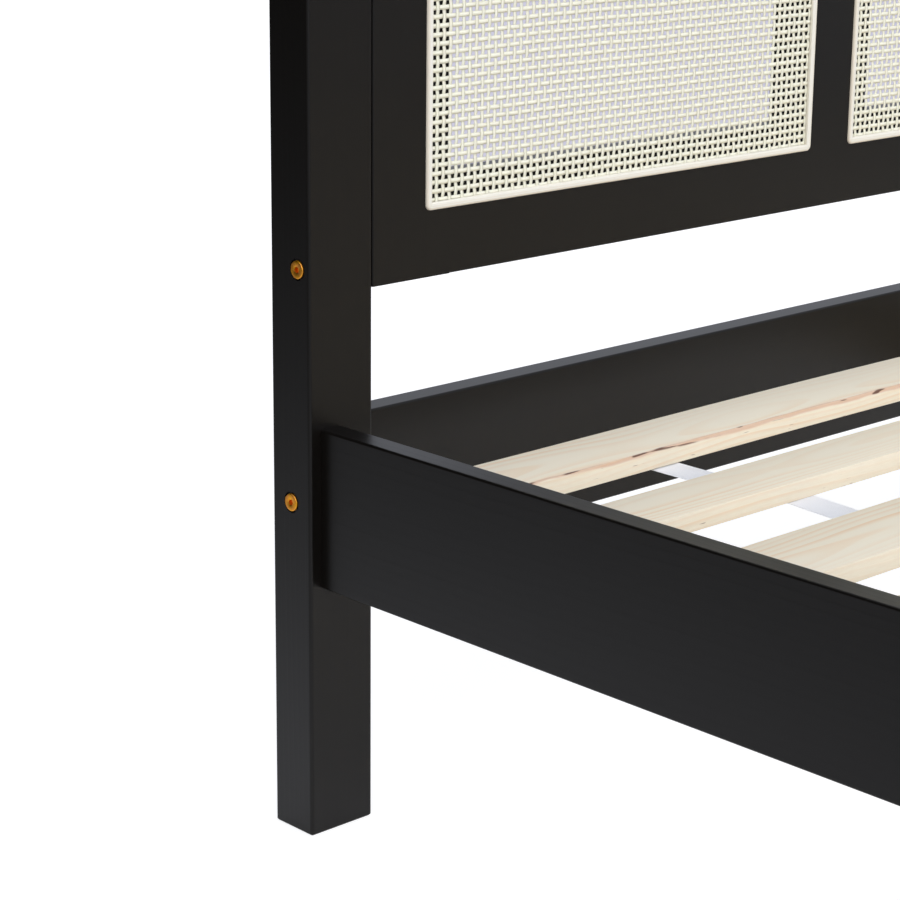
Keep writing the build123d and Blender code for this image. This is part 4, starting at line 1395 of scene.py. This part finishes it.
class BED_OT_set_studio(bpy.types.Operator):
    """Lays the pale floor and sets the soft light and the camera"""
    bl_idname = "platform_bed.set_studio"
    bl_label = "Set the studio"

    floor_reach = 40.0
    # Painted light on the floor that reflections and bounce light see: a pool of light round the bed that
    # fades outwards, a side brighter towards the front right, and a glow in place of bounce light.
    light_pool_reach = 0.95
    light_pool_fall = 1.6
    light_pool_share = 0.85
    lit_side = (0.68, -0.73)
    lit_side_share = 0.25
    bounce = 0.36
    camera_floor = 0.40
    camera_glow = 0.80
    # Painted shade: the lavender grey of a white backdrop in shade, shown behind the cane.
    shaded_backdrop_colour = (0.61, 0.60, 0.73)
    daylight = (0.92, 0.96, 1.07)
    dark_side = (-0.62, 0.74, 0.22)
    darkest = 0.02
    softbox_side = (-0.3, -0.75, 0.6)
    softbox_strength = 1.1

    def floor(self, context):
        """A wide pale floor, white to the camera; to reflections and bounce light it shows a painted pool of
        light round the bed that darkens away from it, and a painted glow.
        """
        mesh = bpy.data.meshes.new("studio_floor")
        reach = self.floor_reach
        corners = [(-reach, -reach, 0.0), (reach, -reach, 0.0), (reach, reach, 0.0), (-reach, reach, 0.0)]
        mesh.from_pydata(corners, [], [(0, 1, 2, 3)])
        material, tree = new_material("Studio floor")
        x, y, _ = split(on_object(tree))
        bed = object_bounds()[1]
        outside = [calc("MAXIMUM", minus(calc("ABSOLUTE", part), edge), 0.0)
                   for part, edge in ((x, bed.x), (y, bed.y))]
        away = ratio(length_of(join(*outside, 0.0)), self.light_pool_reach)
        # Painted light: a pool of light on the floor that fades with distance from the bed.
        painted_light_pool = ratio(1.0, plus(1.0, calc("POWER", away, self.light_pool_fall)))
        # Painted light: the floor is a little brighter towards the front right.
        lit_side = plus(times(x, self.lit_side[0]), times(y, self.lit_side[1]))
        lit_side = ranged(lit_side, -0.5, 2.0, to_low=0.0, to_high=self.lit_side_share)
        lit = plus(times(painted_light_pool, self.light_pool_share), lit_side)
        shade = add(tree, "ShaderNodeCombineColor", {0: lit, 1: lit, 2: lit}).outputs[0]
        seen = add(tree, "ShaderNodeLightPath").outputs["Is Camera Ray"]
        dim = add(tree, "ShaderNodeBsdfDiffuse", {"Color": shade}).outputs[0]
        # Painted light: a glow that stands in for light bounced off the floor.
        bounce = add(tree, "ShaderNodeEmission", {"Color": shade, "Strength": self.bounce}).outputs[0]
        dim = add(tree, "ShaderNodeAddShader", {0: dim, 1: bounce}).outputs[0]
        pale = add(tree, "ShaderNodeBsdfDiffuse", {"Color": opaque((self.camera_floor,) * 3)}).outputs[0]
        glow = add(tree, "ShaderNodeEmission",
                   {"Color": opaque((1.0, 1.0, 1.0)), "Strength": self.camera_glow}).outputs[0]
        bright = add(tree, "ShaderNodeAddShader", {0: pale, 1: glow}).outputs[0]
        surface = add(tree, "ShaderNodeMixShader", {0: seen, 1: dim, 2: bright}).outputs[0]
        add(tree, "ShaderNodeOutputMaterial", {"Surface": surface})
        mesh.materials.append(material)
        floor = bpy.data.objects.new("studio_floor", mesh)
        context.scene.collection.objects.link(floor)
        floor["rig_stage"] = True

    def cane_backdrop(self, context):
        """A card behind each bay that only a camera in front sees, through the open weave; its lavender grey
        glow is painted shade, standing in for the shaded backdrop behind the cane.
        """
        material, tree = new_material("Pale backdrop")
        behind = add(tree, "ShaderNodeNewGeometry").outputs["Backfacing"]
        # Painted shade: the card glows the lavender grey of a white backdrop in shade.
        glow = add(tree, "ShaderNodeEmission",
                   {"Color": opaque(self.shaded_backdrop_colour), "Strength": 1.0}).outputs[0]
        clear = add(tree, "ShaderNodeBsdfTransparent").outputs[0]
        add(tree, "ShaderNodeOutputMaterial", {
            "Surface": add(tree, "ShaderNodeMixShader", {0: behind, 1: glow, 2: clear}).outputs[0]})
        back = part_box("headboard_bottom_member")[1].y
        opening_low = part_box("headboard_bottom_member")[1].z
        opening_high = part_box("headboard_top_member")[0].z
        edges = [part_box("headboard_stile_left")[1].x]
        for name in ("headboard_mid_stile_1", "headboard_mid_stile_2"):
            edges += [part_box(name)[0].x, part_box(name)[1].x]
        edges.append(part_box("headboard_stile_right")[0].x)
        for number in range(len(CANE_PANELS)):
            left, right = edges[2 * number], edges[2 * number + 1]
            mesh = bpy.data.meshes.new(f"cane_backdrop_{number + 1}")
            mesh.from_pydata([(left, back, opening_low), (right, back, opening_low),
                              (right, back, opening_high),
                              (left, back, opening_high)], [], [(0, 1, 2, 3)])
            mesh.materials.append(material)
            card = bpy.data.objects.new(mesh.name, mesh)
            context.scene.collection.objects.link(card)
            for ray in ("diffuse", "glossy", "transmission", "shadow", "volume_scatter"):
                setattr(card, "visible_" + ray, False)
            card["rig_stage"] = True

    def sky(self, context):
        """White all round to the camera; to the bed, soft light that is dark behind on the left."""
        setting = context.scene.bed_studio
        world = bpy.data.worlds.new("Studio light")
        world.use_nodes = True
        tree = world.node_tree
        tree.nodes.clear()
        way = add(tree, "ShaderNodeTexCoord").outputs["Generated"]
        height = split(way)[2]
        level = ranged(height, 0.15, 0.8, to_low=setting.horizon, to_high=setting.sky)
        dark, front = [
            add(tree, "ShaderNodeVectorMath", {0: way, 1: Vector(side).normalized()},
                operation="DOT_PRODUCT").outputs[1]
            for side in (self.dark_side, self.softbox_side)]
        dark = ranged(dark, 0.45, 0.85, to_low=1.0, to_high=self.darkest)
        softbox = ranged(front, 0.5, 0.95, to_low=0.0, to_high=self.softbox_strength)
        strength = plus(times(level, dark), softbox)
        lit = add(tree, "ShaderNodeBackground",
                  {"Color": opaque(self.daylight), "Strength": strength}).outputs[0]
        plain = add(tree, "ShaderNodeBackground",
                    {"Color": opaque((1.0, 1.0, 1.0)), "Strength": 1.0}).outputs[0]
        seen = add(tree, "ShaderNodeLightPath").outputs["Is Camera Ray"]
        both = add(tree, "ShaderNodeMixShader", {0: seen, 1: lit, 2: plain}).outputs[0]
        add(tree, "ShaderNodeOutputWorld", {"Surface": both})
        context.scene.world = world

    def camera(self, context):
        """A camera at the photograph's place and angle."""
        setting = context.scene.bed_studio
        heading, pitch = setting.heading, setting.pitch
        ahead = Vector((math.sin(heading) * math.cos(pitch), math.cos(heading) * math.cos(pitch),
                        -math.sin(pitch)))
        right = Vector((math.cos(heading), -math.sin(heading), 0.0))
        upright = Matrix((right, right.cross(ahead), -ahead)).transposed()
        turned = upright @ Matrix.Rotation(-setting.roll, 3, "Z")
        data = bpy.data.cameras.new("photo_camera")
        data.lens = setting.lens
        data.sensor_width = 36.0
        data.clip_end = 200.0
        camera = bpy.data.objects.new("photo_camera", data)
        camera.matrix_world = Matrix.Translation(setting.camera_place) @ turned.to_4x4()
        context.scene.collection.objects.link(camera)
        context.scene.camera = camera

    def execute(self, context):
        self.floor(context)
        self.cane_backdrop(context)
        self.sky(context)
        self.camera(context)
        context.scene.view_settings.view_transform = "Standard"
        context.scene.view_settings.look = "None"
        return {"FINISHED"}


OPERATORS = (
    BED_OT_lacquer_frame,
    BED_OT_centre_support,
    BED_OT_weave_cane,
    BED_OT_cut_beads,
    BED_OT_saw_slats,
    BED_OT_stitch_straps,
    BED_OT_drive_staples,
    BED_OT_drive_bolts,
    BED_OT_drive_screws,
    BED_OT_seat_barrel_nuts,
    BED_OT_set_studio,
)


class BED_PT_sidebar(bpy.types.Panel):
    """Lists the bed's settings and the operators that make its pieces"""
    bl_idname = "BED_PT_sidebar"
    bl_label = "Platform bed"
    bl_space_type = "VIEW_3D"
    bl_region_type = "UI"
    bl_category = "Platform bed"

    def draw(self, context):
        for name, kind in SETTINGS.items():
            box = self.layout.box()
            box.label(text=kind.__doc__)
            for field in kind.__annotations__:
                box.prop(getattr(context.scene, name), field)
        for operator in OPERATORS:
            self.layout.operator(operator.bl_idname)


def register():
    """Registers the settings, the operators and the panel."""
    for name, kind in SETTINGS.items():
        bpy.utils.register_class(kind)
        setattr(bpy.types.Scene, name, PointerProperty(type=kind))
    for kind in OPERATORS + (BED_PT_sidebar,):
        bpy.utils.register_class(kind)


def unregister():
    """Takes the settings, the operators and the panel away again."""
    for kind in reversed(OPERATORS + (BED_PT_sidebar,)):
        bpy.utils.unregister_class(kind)
    for name, kind in SETTINGS.items():
        delattr(bpy.types.Scene, name)
        bpy.utils.unregister_class(kind)


def main():
    """Registers the settings, operators and panel, then dresses the whole bed by running each operator."""
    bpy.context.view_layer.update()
    register()
    for operator in OPERATORS:
        module, name = operator.bl_idname.split(".")
        getattr(getattr(bpy.ops, module), name)()


if __name__ == "__main__":
    main()
